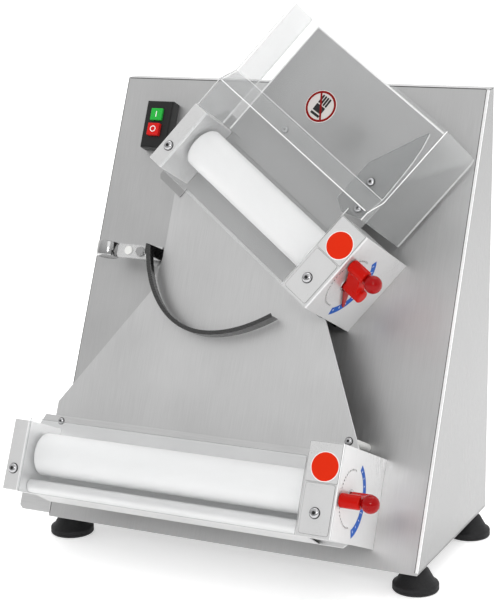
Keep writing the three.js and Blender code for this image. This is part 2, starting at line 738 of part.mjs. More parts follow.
// A sheet that leads the dough out under the lower front roller and folds back round a nose.
function dischargeSheet() {
  const nose = { y: 28.5, z: 102, radius: 7 };
  const steps = 6;
  const arc = Array.from({ length: steps + 1 }, (_, i) => {
    const angle = ((i / steps) * 1.06 - 0.03) * Math.PI;
    return [nose.y + nose.radius * Math.cos(angle), nose.z + nose.radius * Math.sin(angle)];
  });
  const line = [[44, 57.6], [39, 66], [36.4, 82], ...arc, [15.5, 57.6]];
  const outline = foldedOutline(line, -1.2);
  return section(outline, [leftWallX(LOWER) + 0.8, -GROUP.dialBox - 0.8]);
}

const HOOD = {
  left: -258,
  right: -19.5,
  top: 250,
  overDial: 125,
  foldLow: 135,
  foldHigh: 153,
  upperFace: 112,
  rightRear: 6,
};

// The line of the hood's front, from its lower edge to its top.
function hoodFrontLine(fromY) {
  const { foldLow, foldHigh, upperFace, top } = HOOD;
  return [[fromY, GROUP.depth], [foldLow, GROUP.depth], [foldHigh, upperFace], [top, upperFace]];
}

function hoodCheek([x0, x1], fromY, rearZ, rearRound) {
  const { top } = HOOD;
  const shape = new THREE.Shape();
  shape.moveTo(fromY, rearZ);
  hoodFrontLine(fromY).forEach(([y, z]) => shape.lineTo(y, z));
  shape.lineTo(top, rearZ + rearRound);
  shape.absarc(top - rearRound, rearZ + rearRound, rearRound, 0, -Math.PI / 2, true);
  return section(shape, [x0, x1], 6);
}

function hood() {
  const { left, right, overDial } = HOOD;
  const low = GROUP.leftTop + 0.5;
  const front = section(foldedOutline(hoodFrontLine(low), CLEAR_SHEET), [left, right]);
  const overDialBox = block([-GROUP.dialBox - 0.4, 5], [0, overDial], [60, 140]);
  const depth = [GROUP.depth - CLEAR_SHEET, GROUP.depth];
  const x = [leftWallX(UPPER) + 0.4, -GROUP.dialBox - 0.4];
  const guard = block(x, [GROUP.bottom, low + 1], depth);
  const leftCheek = hoodCheek([left, left + CLEAR_SHEET], low, GROUP.plate + 3, 3);
  const rightCheek = hoodCheek([right - CLEAR_SHEET, right], overDial, HOOD.rightRear, 8);
  return join(cut(front, overDialBox), guard, leftCheek, rightCheek);
}

function infeedPlate() {
  const outline = outlineOf([
    [-247, 98],
    [-228, 98],
    [-228, 90],
    [-44, 90],
    [-44, 249],
    [-247, 249],
  ]);
  const back = GROUP.plate + GAP;
  return plate(outline, [back, back + SHEET]);
}

buildCabinet();
buildSwitch();
buildChute();
buildRollerGroup("lower", LOWER, lowerFrame);
buildRollerGroup("upper", UPPER, upperFrame);
node(lowerFrame, "lower_guard", lowerGuard(), CLEAR);
node(lowerFrame, "discharge_sheet", dischargeSheet(), STEEL);
node(upperFrame, "hood", hood(), CLEAR);
node(upperFrame, "infeed_plate", infeedPlate(), STEEL);

export default sheeter;
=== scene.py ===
import math

import bmesh
import bpy
from mathutils import Matrix, Vector
from mathutils.bvhtree import BVHTree
from mathutils.geometry import tessellate_polygon


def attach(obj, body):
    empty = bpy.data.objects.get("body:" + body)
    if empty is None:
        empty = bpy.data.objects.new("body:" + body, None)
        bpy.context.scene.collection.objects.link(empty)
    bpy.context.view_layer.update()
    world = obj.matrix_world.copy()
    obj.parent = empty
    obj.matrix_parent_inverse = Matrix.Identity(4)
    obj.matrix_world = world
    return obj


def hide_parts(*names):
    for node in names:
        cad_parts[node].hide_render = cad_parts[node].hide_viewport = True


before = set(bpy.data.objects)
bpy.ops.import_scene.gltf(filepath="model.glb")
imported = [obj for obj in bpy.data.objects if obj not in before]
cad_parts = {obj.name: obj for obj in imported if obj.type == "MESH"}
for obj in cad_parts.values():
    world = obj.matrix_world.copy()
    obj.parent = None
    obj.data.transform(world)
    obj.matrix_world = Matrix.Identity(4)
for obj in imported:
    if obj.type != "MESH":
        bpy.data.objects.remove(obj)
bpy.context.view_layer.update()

# The looks of a two-stage dough sheeter, built round the frozen CAD frame.
# Lengths are in millimetres up to emit(), which writes metres.
MM = 0.001
SHEET = 1.5  # thickness of the bent steel brackets
GAP = 0.3  # left free where two pieces meet
CABINET = {"width": 450, "height": 485.8, "base": 231.6, "top": 16}  # "base" and "top" are depths
TILT = math.atan((CABINET["base"] - CABINET["top"]) / CABINET["height"])
FOOT_HEIGHT = 27.5
GLAND = 12  # how far the cable gland stands out of the back

# A roller group's own frame: x along its rollers, y up the front panel, z out of it.
DEPTH = 126  # z of the brackets' front faces
PLATE_FACE = 57.3  # z of the brackets' rear edges, just in front of the backing plate
BRACKET_LOW = 20  # y of the brackets' lower edges
DIAL_BOX = 38.5  # width of the box behind the dial
PIVOT_Y = 65  # y of the rollers and of the lever's axis
REAR_Z = 40  # z of the rear roller
LEVER_Z = 89  # z of the lever's axis, and of the front roller at mid travel
LEVER_ARM = 29.5  # from the lever's axis to its plunger
SLIDE_HALF = 1.8  # half of the front roller's travel
LEVER_HALF = 80  # half of the lever's turn, in degrees

# "inner" is the room between the brackets, "turn" the group's turn on the panel, "lever" the lever's
# rest angle on the dial and "motor" the y of the motor's shaft.
GROUPS = {
    "lower": {"inner": 328.5, "origin": (172.8, 0), "turn": 0, "lever": 98, "motor": 100},
    "upper": {"inner": 203, "origin": (94.4, 232.4), "turn": -35.46, "lever": 50, "motor": 10},
}

front_reach = BRACKET_LOW * math.sin(TILT) - DEPTH * math.cos(TILT)
CABINET_FRAME = Matrix.Translation((0, -(front_reach + CABINET["base"] + GLAND) / 2, FOOT_HEIGHT))
FRONT = CABINET_FRAME @ Matrix.Rotation(math.pi / 2 - TILT, 4, "X")
for group in GROUPS.values():
    place = Matrix.Translation((*group["origin"], 0))
    group["frame"] = FRONT @ place @ Matrix.Rotation(math.radians(group["turn"]), 4, "Z")
    group["axis"] = group["frame"] @ Matrix.Translation((0, PIVOT_Y, LEVER_Z))
    group["left"] = -(DIAL_BOX + group["inner"])
    group["front_z"] = LEVER_Z + SLIDE_HALF * (90 - group["lever"]) / LEVER_HALF


# ---- Materials --------------------------------------------------------------------------------
class Nodes:
    """A material's node tree, with short ways to add and link nodes."""

    def __init__(self, name):
        self.material = bpy.data.materials.new(name)
        self.material.use_nodes = True
        self.tree = self.material.node_tree
        self.shader = self.tree.nodes["Principled BSDF"]

    def add(self, kind, links=None, **values):
        node = self.tree.nodes.new(kind)
        for key, value in values.items():
            setattr(node, key, value)
        for socket, source in (links or {}).items():
            if isinstance(source, bpy.types.NodeSocket):
                self.tree.links.new(source, node.inputs[socket])
            else:
                node.inputs[socket].default_value = source
        return node

    def set(self, socket, source):
        if isinstance(source, bpy.types.NodeSocket):
            self.tree.links.new(source, self.shader.inputs[socket])
        else:
            self.shader.inputs[socket].default_value = source

    def noise(self, scale, detail=3, rough=0.5, rotation=(0, 0, 0)):
        where = self.add("ShaderNodeTexCoord").outputs["Object"]
        mapped = self.add("ShaderNodeMapping", {"Vector": where, "Scale": scale, "Rotation": rotation})
        links = {"Vector": mapped.outputs["Vector"], "Scale": 1.0, "Detail": detail, "Roughness": rough}
        return self.add("ShaderNodeTexNoise", links).outputs["Fac"]

    def spread(self, fac, low, high, start=0.3, end=0.7):
        links = {"Value": fac, "From Min": start, "From Max": end, "To Min": low, "To Max": high}
        return self.add("ShaderNodeMapRange", links).outputs["Result"]

    def tint(self, fac, dark, light):
        mix = self.add("ShaderNodeMix", {"Factor": fac}, data_type="RGBA")
        mix.inputs[6].default_value = (*dark, 1)
        mix.inputs[7].default_value = (*light, 1)
        return mix.outputs[2]

    def bump(self, height, strength, distance=0.0004):
        links = {"Height": height, "Strength": strength, "Distance": distance}
        self.set("Normal", self.add("ShaderNodeBump", links).outputs["Normal"])


def steel(name, tone, rough, grain, rotation=(0, 0, 0), grain_depth=0.12, metal=1.0):
    """Sheet steel with brushed streaks, faint clouding and softer patches in its gloss."""
    n = Nodes(name)
    streaks = n.noise(grain, 2, 0.6, rotation)
    clouds = n.noise((9, 9, 9), 4)
    dark = tuple(t * 0.93 for t in tone)
    light = tuple(min(t * 1.05, 1) for t in tone)
    both = n.add("ShaderNodeMath", {0: streaks, 1: clouds}, operation="ADD").outputs[0]
    n.set("Base Color", n.tint(n.spread(both, 0, 1, 0.7, 1.3), dark, light))
    n.set("Metallic", metal)
    n.set("Roughness", n.spread(both, rough - 0.05, rough + 0.07, 0.7, 1.3))
    n.bump(streaks, grain_depth, 0.0001)
    return n.material


def polished(name, tone, rough):
    """Turned or plated metal, with a fine grain in its gloss."""
    n = Nodes(name)
    rings = n.noise((900, 900, 900), 2)
    n.set("Base Color", n.tint(n.spread(rings, 0, 1), tuple(t * 0.9 for t in tone), tone))
    n.set("Metallic", 1)
    n.set("Roughness", n.spread(rings, rough * 0.8, rough * 1.5))
    n.bump(rings, 0.04, 0.0001)
    return n.material


def moulded(name, tone, rough, grain=700, depth=0.08, gloss=0.3, vary=0.06):
    """Moulded plastic or rubber: even colour, fine skin texture, slightly uneven gloss."""
    n = Nodes(name)
    skin = n.noise((grain,) * 3, 3)
    clouds = n.noise((14, 14, 14), 3)
    dark = tuple(t * (1 - vary) for t in tone)
    light = tuple(min(t * (1 + vary), 1) for t in tone)
    n.set("Base Color", n.tint(n.spread(clouds, 0, 1), dark, light))
    n.set("Roughness", n.spread(skin, rough * 0.85, rough * 1.15))
    n.set("Specular IOR Level", gloss)
    n.bump(skin, depth, 0.0002)
    return n.material


def clear(name, facing, grazing, tone=(0.93, 0.95, 0.96), rough=0.04):
    """Clear sheet: thin to the eye seen square on, whiter towards a slant as a painted sheen, with faint
    scuffs.
    """
    n = Nodes(name)
    scuffs = n.noise((160, 40, 160), 4, 0.65)
    # The pale base colour grows more opaque towards a slant: a painted sheen.
    slant_sheen = n.add("ShaderNodeLayerWeight", {"Blend": 0.35}).outputs["Facing"]
    alpha = n.spread(slant_sheen, facing, grazing, 0.05, 0.95)
    worn = n.spread(scuffs, 0, 0.02, 0.5, 0.8)
    n.set("Alpha", n.add("ShaderNodeMath", {0: alpha, 1: worn}, operation="ADD").outputs[0])
    n.set("Base Color", n.tint(n.spread(scuffs, 0, 1), tuple(t * 0.97 for t in tone), tone))
    n.set("Roughness", n.spread(scuffs, rough, rough * 1.5))
    n.set("IOR", 1.58)
    n.set("Coat Weight", 0.2)
    n.set("Coat Roughness", 0.06)
    return n.material


TILT_TURN = (-TILT, 0, 0)  # lays the grain along the front panel
STEEL_FRONT = steel("steel_front", (0.56, 0.56, 0.56), 0.42, (1400, 30, 30), TILT_TURN, 0.06)
STEEL_SIDE = steel("steel_side", (0.34, 0.34, 0.34), 0.27, (30, 1400, 30))
STEEL_CHUTE = steel("steel_chute", (0.66, 0.66, 0.66), 0.42, (1400, 30, 30), TILT_TURN, 0.06)
STEEL_SOFT = steel("steel_bent", (0.66, 0.66, 0.66), 0.5, (60, 1400, 60), TILT_TURN, 0.03, 0.6)
# A darker copy of the chute's steel for the plates under the hood: painted shade.
STEEL_UNDER_HOOD_SHADE = steel("steel_under_hood_painted_shade", (0.42, 0.42, 0.42), 0.42, (1400, 30, 30), TILT_TURN, 0.06)
STEEL_PLATE = steel("steel_plate", (0.72, 0.72, 0.72), 0.36, (30, 900, 900), TILT_TURN, 0.06)
# Near black for the chute plate's rear faces: painted shade in the gap behind the chute.
CHUTE_BACK_PAINTED_SHADE = steel("chute_back_painted_shade", (0.012, 0.012, 0.012), 0.5, (1400, 30, 30), TILT_TURN, 0.06)
STEEL_BRACKET = steel("steel_bracket", (0.66, 0.66, 0.66), 0.3, (3000, 3000, 60), TILT_TURN, 0.01, 0.5)
# Near-white steel for bends and edges: a painted highlight where light catches them.
PAINTED_HIGHLIGHT_STEEL = steel("steel_painted_highlight", (0.9, 0.9, 0.9), 0.4, (60, 60, 900), TILT_TURN, 0.01, 0.4)
# Near black for the rocker's band: painted shade and dark reflection on its faces.
BAND_PAINTED_SHADE = steel("aluminium_band_painted_shade", (0.09, 0.09, 0.09), 0.26, (60, 60, 900), TILT_TURN, 0.05)
CHROME = polished("chrome_screw", (0.5, 0.5, 0.51), 0.09)
DRUM_STEEL = polished("turned_drum", (0.46, 0.46, 0.46), 0.1)
SHAFT_STEEL = polished("turned_steel", (0.66, 0.66, 0.67), 0.2)
ROLLER_WHITE = moulded("white_acetal", (0.8, 0.8, 0.8), 0.42, 500, 0.05, 0.3, 0.015)
GEAR_WHITE = moulded("white_gear", (0.8, 0.8, 0.77), 0.5, 700, 0.06)
RED = moulded("red_plastic", (0.46, 0.005, 0.002), 0.18, 900, 0.02, 0.1)
BALL_RED = moulded("red_ball", (0.3, 0.002, 0.003), 0.08, 900, 0.005, 0.16)
POINTER_RED = moulded("dark_red_pointer", (0.3, 0.01, 0.01), 0.4)
GREEN = moulded("green_button", (0.02, 0.42, 0.05), 0.3, 900, 0.04, 0.2)
STOP_RED = moulded("stop_button", (0.6, 0.012, 0.01), 0.3, 900, 0.04, 0.15)
BLACK = moulded("black_plastic", (0.012, 0.012, 0.012), 0.42, 900, 0.15)
RUBBER = moulded("black_rubber", (0.012, 0.012, 0.013), 0.62, 500, 0.35)
MOTOR_GREY = moulded("machine_enamel", (0.13, 0.14, 0.15), 0.45, 400, 0.12)
NYLON = moulded("white_nylon", (0.78, 0.78, 0.76), 0.5)
DOT_ORANGE = moulded("orange_sticker", (0.64, 0.02, 0.001), 0.5, 1200, 0.05, 0.12, 0.03)
STICKER_WHITE = moulded("white_print", (0.85, 0.85, 0.83), 0.5, 1200, 0.03)
SIGN_RED = moulded("sign_red", (0.2, 0.006, 0.006), 0.45, 1200, 0.03, 0.1)
INK = moulded("black_print", (0.01, 0.01, 0.01), 0.5, 1200, 0.03)
SIGN_GREY = moulded("sign_ground", (0.55, 0.52, 0.5), 0.5, 1200, 0.03, 0.1)
DIAL_BLUE = moulded("dial_blue", (0.012, 0.09, 0.4), 0.5, 1200, 0.03, 0.15, 0.15)
# Near-black painted shadow for openings, recesses and the rings round screw heads.
SHADOW = moulded("painted_shadow_recess", (0.02, 0.02, 0.02), 0.8)
# Dark grey for seams and for painted shade along edges and bends.
SEAM_AND_EDGE_SHADE = moulded("dark_seam_and_painted_edge_shade", (0.09, 0.09, 0.09), 0.6)
CLEAR = clear("clear_sheet", 0.03, 0.5)
# Grey tint for the hood's cheeks: painted shade.
CLEAR_CHEEK_SHADE = clear("clear_cheek_painted_shade", 0.11, 0.5, (0.42, 0.43, 0.43))
# Near-white, nearly opaque cut edges of clear sheet: painted highlight.
CLEAR_EDGE_HIGHLIGHT = clear("clear_edge_painted_highlight", 0.85, 0.95, (0.97, 0.98, 0.98), 0.1)
# A milkier clear sheet for the lower guard: painted light that lifts the shade behind it.
CLEAR_GUARD_PAINTED_LIGHT = clear("clear_guard_painted_light", 0.08, 0.5)
# Dark grey tint for the tab on the hood: painted shade.
CLEAR_TAB_SHADE = clear("clear_tab_painted_shade", 0.34, 0.5, (0.2, 0.21, 0.21), 0.08)
# Dark grey for the clear pieces' bevels: painted shade along their edges.
CLEAR_RIM_SHADE = clear("clear_rim_painted_shade", 0.85, 0.9, (0.22, 0.23, 0.23), 0.1)
# Grey tint for the hood's slanting fold: painted shade where the fold darkens the plate below.
CLEAR_FOLD_SHADE = clear("clear_fold_painted_shade", 0.28, 0.45, (0.4, 0.41, 0.41), 0.08)


# ---- Mesh building ----------------------------------------------------------------------------
def emit(name, bm, matrix, material, body, replaced=(), bevel=0.0, segments=2, sharp=34, rim=-1):
    """Turns a bmesh in millimetres into a finished piece in metres, riding on a body.

    Edges sharper than sharp degrees are bevelled, and rim is the material of those bevels.
    """
    bmesh.ops.remove_doubles(bm, verts=bm.verts, dist=1e-4)
    bmesh.ops.recalc_face_normals(bm, faces=bm.faces)
    if bevel:
        edges = [e for e in bm.edges if e.is_manifold and e.calc_face_angle(0) > math.radians(sharp)]
        bmesh.ops.bevel(
            bm, geom=edges, offset=bevel, offset_type="OFFSET", segments=segments,
            profile=0.5, affect="EDGES", clamp_overlap=True, material=rim,
        )
    mesh = bpy.data.meshes.new(name)
    bm.to_mesh(mesh)
    bm.free()
    mesh.transform(Matrix.Scale(MM, 4) @ matrix)
    mesh.shade_smooth()
    mesh.set_sharp_from_angle(angle=math.radians(sharp))
    obj = bpy.data.objects.new(name, mesh)
    bpy.context.collection.objects.link(obj)
    if bevel:
        flats = obj.modifiers.new("flats", "WEIGHTED_NORMAL")
        flats.keep_sharp = True
        flats.weight = 100
    for item in material if isinstance(material, (list, tuple)) else [material]:
        mesh.materials.append(item)
    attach(obj, body)
    if replaced:
        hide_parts(*replaced)
    return obj


# How a shape's own (a, b, c) lie on x, y, z when it is extruded or turned along that axis.
ALONG = {
    "x": lambda a, b, c: Vector((c, a, b)),
    "y": lambda a, b, c: Vector((b, c, a)),
    "z": lambda a, b, c: Vector((a, b, c)),
}


def box(bm, xs, ys, zs):
    """A block between two values on each axis."""
    corners = [bm.verts.new((x, y, z)) for z in zs for y in ys for x in xs]
    for face in ((0, 2, 3, 1), (4, 5, 7, 6), (0, 1, 5, 4), (2, 6, 7, 3), (0, 4, 6, 2), (1, 3, 7, 5)):
        bm.faces.new([corners[i] for i in face])


def prism(bm, outline, low, high, along="z", holes=(), material=0):
    """A straight solid between two values along an axis, from an outline with holes."""
    loops = [list(outline), *[list(h) for h in holes]]
    place = ALONG[along]
    ends = []
    for level in (low, high):
        ends.append([[bm.verts.new(place(a, b, level)) for a, b in loop] for loop in loops])
    made = []
    for bottom, top in zip(*ends):
        count = len(bottom)
        for i in range(count):
            j = (i + 1) % count
            made.append(bm.faces.new((bottom[i], bottom[j], top[j], top[i])))
    if holes:
        flat = [[Vector((a, b, 0)) for a, b in loop] for loop in loops]
        for end in ends:
            verts = [v for loop in end for v in loop]
            for tri in tessellate_polygon(flat):
                made.append(bm.faces.new([verts[i] for i in tri]))
    else:
        made.extend(bm.faces.new(end[0]) for end in ends)
    for face in made:
        face.material_index = material
    return made


def lathe(bm, profile, along="x", centre=(0, 0), sides=64, closed=False, material=0):
    """Turns a profile of (radius, position) round an axis through centre."""
    place = ALONG[along]
    rings = []
    for radius, level in profile:
        if radius < 1e-6:
            rings.append([bm.verts.new(place(*centre, level))])
            continue
        ring = []
        for i in range(sides):
            angle = 2 * math.pi * i / sides
            a = centre[0] + radius * math.cos(angle)
            ring.append(bm.verts.new(place(a, centre[1] + radius * math.sin(angle), level)))
        rings.append(ring)
    pairs = list(zip(rings, rings[1:]))
    if closed:
        pairs.append((rings[-1], rings[0]))
    for low, high in pairs:
        for i in range(sides):
            j = (i + 1) % sides
            corners = [low[i % len(low)], low[j % len(low)], high[j % len(high)], high[i % len(high)]]
            unique = list(dict.fromkeys(corners))
            if len(unique) > 2:
                bm.faces.new(unique).material_index = material


def circle(centre, radius, count=32, start=0.0, sweep=2 * math.pi):
    """Points round a circle, or along the arc of it that sweep spans."""
    steps = count if abs(sweep - 2 * math.pi) < 1e-9 else count + 1
    return [
        (centre[0] + radius * math.cos(start + sweep * i / count),
         centre[1] + radius * math.sin(start + sweep * i / count))
        for i in range(steps)
    ]


def rounded(points, radius, steps=5, closed=True):
    """An outline or line with its corners rounded."""
    result = []
    count = len(points)
    for i, point in enumerate(points):
        if not closed and i in (0, count - 1):
            result.append(tuple(point))
            continue
        here = Vector(point)
        before = Vector(points[i - 1]) - here
        after = Vector(points[(i + 1) % count]) - here
        half = before.angle(after) / 2
        if half > math.radians(88):
            result.append(tuple(point))
            continue
        reach = min(radius / math.tan(half), 0.49 * before.length, 0.49 * after.length)
        r = reach * math.tan(half)
        centre = here + (before.normalized() + after.normalized()).normalized() * (r / math.sin(half))
        first = here + before.normalized() * reach - centre
        last = here + after.normalized() * reach - centre
        turn = first.angle_signed(last)
        for k in range(steps + 1):
            spun = Matrix.Rotation(-turn * k / steps, 2) @ first
            result.append(tuple(centre + spun))
    return result


def folded(line, thickness, radius, steps=5):
    """The outline of a sheet folded along a line, its thickness laid off to the line's left."""
    path = [Vector(p) for p in rounded(line, radius, steps, closed=False)]
    left = []
    for i, point in enumerate(path):
        ahead = (path[min(i + 1, len(path) - 1)] - point)
        behind = (point - path[max(i - 1, 0)])
        if ahead.length < 1e-6:
            ahead = behind
        if behind.length < 1e-6:
            behind = ahead
        along = (ahead.normalized() + behind.normalized()).normalized()
        normal = Vector((-along.y, along.x))
        stretch = normal.dot(Vector((-behind.y, behind.x)).normalized())
        left.append(tuple(point + normal * thickness / stretch))
    return [tuple(p) for p in path] + left[::-1]


def soften(node, material, body, width=0.35, segments=2):
    """A copy of a CAD node with its edges rounded off.

    Given a list of two materials, the second goes on the faces turned to the rear.
    """
    bm = bmesh.new()
    bm.from_mesh(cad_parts[node].data)
    bmesh.ops.scale(bm, vec=(1 / MM,) * 3, verts=bm.verts)
    bmesh.ops.remove_doubles(bm, verts=bm.verts, dist=1e-3)
    bmesh.ops.dissolve_limit(bm, angle_limit=math.radians(1), verts=bm.verts, edges=bm.edges)
    bm.normal_update()
    behind = FRONT.to_3x3() @ Vector((0, 0, -1))
    for face in bm.faces if isinstance(material, list) else ():
        face.material_index = int(face.normal.dot(behind) > 0.3)
    return emit(node + "_finished", bm, Matrix(), material, body, (node,), width, segments)


# ---- Fasteners --------------------------------------------------------------------------------
def pan_screw(bm, centre, base, radius, height, along, flip):
    """A domed pan head with a cross recess. Its flip is -1 where it points down its axis."""
    steps = 7
    profile = [(radius, base), (radius, base + flip * height * 0.25)]
    for i in range(1, steps):
        angle = math.pi / 2 * i / steps
        rise = height * (0.25 + 0.75 * math.sin(angle))
        profile.append((radius * (0.42 + 0.58 * math.cos(angle)), base + flip * rise))
    floor = base + flip * height * 0.45
    profile += [(radius * 0.36, base + flip * height), (radius * 0.3, floor), (0, floor)]
    lathe(bm, [(0, base), *profile], along, centre, 28)
    arm = radius * 0.1
    reach = radius * 0.34
    low, high = sorted((floor - flip * 0.1, base + flip * height * 0.86))
    place = ALONG[along]
    for spread_a, spread_b in ((reach, arm), (arm, reach)):
        outline = [
            (centre[0] - spread_a, centre[1] - spread_b), (centre[0] + spread_a, centre[1] - spread_b),
            (centre[0] + spread_a, centre[1] + spread_b), (centre[0] - spread_a, centre[1] + spread_b),
        ]
        # The cross takes the second material, which screws() sets to painted shade in the recess.
        prism(bm, outline, low, high, along, material=1)


def screws(name, spots, base, matrix, body="cabinet", radius=4.8, height=2.9, along="z", flip=1):
    """Screw heads at spots on a face at base, each in a thin dark ring of painted shadow, with painted shade
    in its cross recess.
    """
    bm = bmesh.new()
    for spot in spots:
        pan_screw(bm, spot, base + flip * 0.12, radius, height, along, flip)
        # A near-black ring under the head: painted shadow.
        ring = [(0, base), (radius + 0.7, base), (radius + 0.6, base + flip * 0.1), (0, base + flip * 0.1)]
        lathe(bm, ring, along, spot, 28, material=1)
    return emit(name, bm, matrix, [CHROME, SHADOW], body, sharp=40)


# ---- Booleans and remeshing on loose meshes ---------------------------------------------------
def as_object(bm):
    """A loose object that takes over a bmesh, for a modifier to work on."""
    bmesh.ops.remove_doubles(bm, verts=bm.verts, dist=1e-4)
    bmesh.ops.recalc_face_normals(bm, faces=bm.faces)
    mesh = bpy.data.meshes.new("tool")
    bm.to_mesh(mesh)
    bm.free()
    obj = bpy.data.objects.new("tool", mesh)
    bpy.context.collection.objects.link(obj)
    return obj


def evaluated(obj, tools=()):
    """The object's mesh with its modifiers applied, as a new bmesh. The object and its tools go."""
    bpy.context.view_layer.update()
    graph = bpy.context.evaluated_depsgraph_get()
    bm = bmesh.new()
    bm.from_mesh(obj.evaluated_get(graph).to_mesh())
    for each in (obj, *tools):
        bpy.data.objects.remove(each)
    return bm


def combine(bm, others, operation):
    """The union of a mesh with others, or what is left of it after they are cut away."""
    obj = as_object(bm)
    tools = [as_object(other) for other in others]
    for tool in tools:
        modifier = obj.modifiers.new("combine", "BOOLEAN")
        modifier.operation = operation
        modifier.solver = "EXACT"
        modifier.object = tool
    return evaluated(obj, tools)


def melt(bm, voxel, rounds):
    """Runs a mesh's parts together into one skin with soft inner corners."""
    obj = as_object(bm)
    remesh = obj.modifiers.new("skin", "REMESH")
    remesh.mode = "VOXEL"
    remesh.voxel_size = voxel
    soft = obj.modifiers.new("soft", "SMOOTH")
    soft.iterations = rounds
    soft.factor = 0.5
    return evaluated(obj)


def solid(*steps):
    """A new bmesh after the given calls, each (function, arguments...)."""
    bm = bmesh.new()
    for function, *arguments in steps:
        function(bm, *arguments)
    return bm


def rect(a0, a1, b0, b1, radius, steps=5):
    """A rectangle with rounded corners."""
    corners = [(a0, b0), (a1, b0), (a1, b1), (a0, b1)]
    return rounded(corners, radius, steps)


# ---- Cabinet ----------------------------------------------------------------------------------
HALF = CABINET["width"] / 2
BACK_Y = CABINET["base"]

soften("front_panel", STEEL_FRONT, "cabinet", 0.6, 3)
for node in ("left_side_panel", "right_side_panel", "back_panel"):
    soften(node, STEEL_SIDE, "cabinet", 0.5)
soften("base_plate", STEEL_SIDE, "cabinet", 0.4)


def foot(name, x, y):
    """A round rubber foot with grooves near the floor and a flared neck."""
    profile = [
        (0, -FOOT_HEIGHT), (22.6, -FOOT_HEIGHT), (24.2, -27.1), (25, -26), (25, -24.2), (24.6, -23.9),
        (24.6, -23.3), (25, -23), (25, -20.6), (24.5, -19.4), (23.2, -18.6), (20.5, -16.4), (15.2, -7.2),
        (14, -5), (12.5, -3.6), (9.5, -1.2), (9, -GAP), (0, -GAP),
    ]
    bm = solid((lathe, profile, "z", (x, y), 64))
    emit(name + "_rubber", bm, CABINET_FRAME, RUBBER, "cabinet", (name,), sharp=50)


FOOT_AT = {"inset": 12.5, "front": 31, "rear": 208}
for side, x in (("left", FOOT_AT["inset"] - HALF), ("right", HALF - FOOT_AT["inset"])):
    for end in ("front", "rear"):
        foot(f"foot_{end}_{side}", x, FOOT_AT[end])


def louvres():
    """Pressed ventilation louvres on the back, each with a thin dark strip of painted shadow for its opening
    along its lower edge.
    """
    rows, lowest, pitch, half = 5, 300, 17, 32
    bm = bmesh.new()
    for x in (-92, 0, 92):
        for row in range(rows):
            z = lowest + row * pitch
            hood = [(BACK_Y + 0.05, z), (BACK_Y + 3.6, z), (BACK_Y + 3.9, z + 0.8), (BACK_Y + 2.6, z + 5.5),
                    (BACK_Y + 0.05, z + 9)]
            prism(bm, hood, x - half, x + half, "x")
            # A thin near-black strip in each opening: painted shadow.
            mouth_shadow = [(BACK_Y + 0.3, z - 0.05), (BACK_Y + 3.1, z - 0.05),
                     (BACK_Y + 3.1, z - 0.01), (BACK_Y + 0.3, z - 0.01)]
            prism(bm, mouth_shadow, x - half + 2, x + half - 2, "x", material=1)
    emit("back_louvres", bm, CABINET_FRAME, [STEEL_SIDE, SHADOW], "cabinet")


louvres()
back_spots = [(z, x) for x in (9 - HALF, HALF - 9) for z in (12, 165, 320, 474)]
back_spots += [(z, x) for x in (-75, 75) for z in (12, 474)]
screws("back_screws", back_spots, BACK_Y, CABINET_FRAME, radius=3.6, height=2.2, along="y")
base_spots = [(x, y) for x in (-190, 0, 190) for y in (62, 178)]
screws("base_screws", base_spots, 0, CABINET_FRAME, radius=3.6, height=2.2, flip=-1)


def gland():
    """A cable gland with its hexagon, ribbed cap and blanking plug."""
    at = (60, 150)
    face = BACK_Y + GAP
    steps = 48
    bm = bmesh.new()
    prism(bm, circle(at, 11, 6), face, face + 4.2, "y")
    ribs = []
    for i in range(steps):
        radius = 9.1 if i % 4 < 2 else 8.6
        angle = 2 * math.pi * i / steps
        ribs.append((at[0] + radius * math.cos(angle), at[1] + radius * math.sin(angle)))
    prism(bm, ribs, face + 4.2, face + 9.4, "y")
    cap = [(0, face + 9.4), (8.6, face + 9.4), (8.2, face + 10.6), (6.4, face + 11.4), (5.4, face + 11.4),
           (5.2, face + 10.9), (3, face + 10.8), (0, face + 10.9)]
    lathe(bm, cap, "y", at, steps)
    emit("cable_gland_capped", bm, CABINET_FRAME, BLACK, "cabinet", ("cable_gland",), 0.3)


gland()

# ---- Switch -----------------------------------------------------------------------------------
SWITCH_X = -167
soften("switch_housing", BLACK, "cabinet", 0.7, 3)
soften("start_button", GREEN, "start_button", 0.9, 3)
soften("stop_button", STOP_RED, "stop_button", 0.9, 3)


def button_marks():
    """The plain bar and ring on the buttons."""
    start_face, stop_face, sunk, proud = 21.5, 23.5, 0.2, 0.12
    bar = rect(SWITCH_X - 0.6, SWITCH_X + 0.6, 476.6, 483.4, 0.3, 2)
    bm = solid((prism, bar, start_face - sunk, start_face + proud))
    emit("start_mark", bm, FRONT, STICKER_WHITE, "start_button")
    centre = (SWITCH_X, 461.5)
    bm = solid((prism, circle(centre, 3.7), stop_face - sunk, stop_face + proud, "z", [circle(centre, 2.7)]))
    emit("stop_mark", bm, FRONT, STICKER_WHITE, "stop_button")


button_marks()

# ---- Chute and rocker -------------------------------------------------------------------------
CHUTE_FRONT = 55.1  # z of the chute plate's front face
STANDOFF_AT = (148.3, 125.4)
# The chute plate's rear faces take the near-black second material: painted shade between the plate and the
# front panel.
soften("chute_plate", [STEEL_CHUTE, CHUTE_BACK_PAINTED_SHADE], "cabinet", 0.45, 3)


def standoff():
    """The white spacer between the front panel and the chute plate."""
    profile = [(0, GAP), (4.6, GAP), (5, 0.9), (5, 52.6), (4.6, 53.2), (0, 53.2)]
    bm = solid((lathe, profile, "z", STANDOFF_AT, 40))
    emit("chute_standoff_nylon", bm, FRONT, NYLON, "cabinet", ("chute_standoff",))


standoff()
screws("chute_screw", [STANDOFF_AT], CHUTE_FRONT, FRONT, radius=4, height=3)

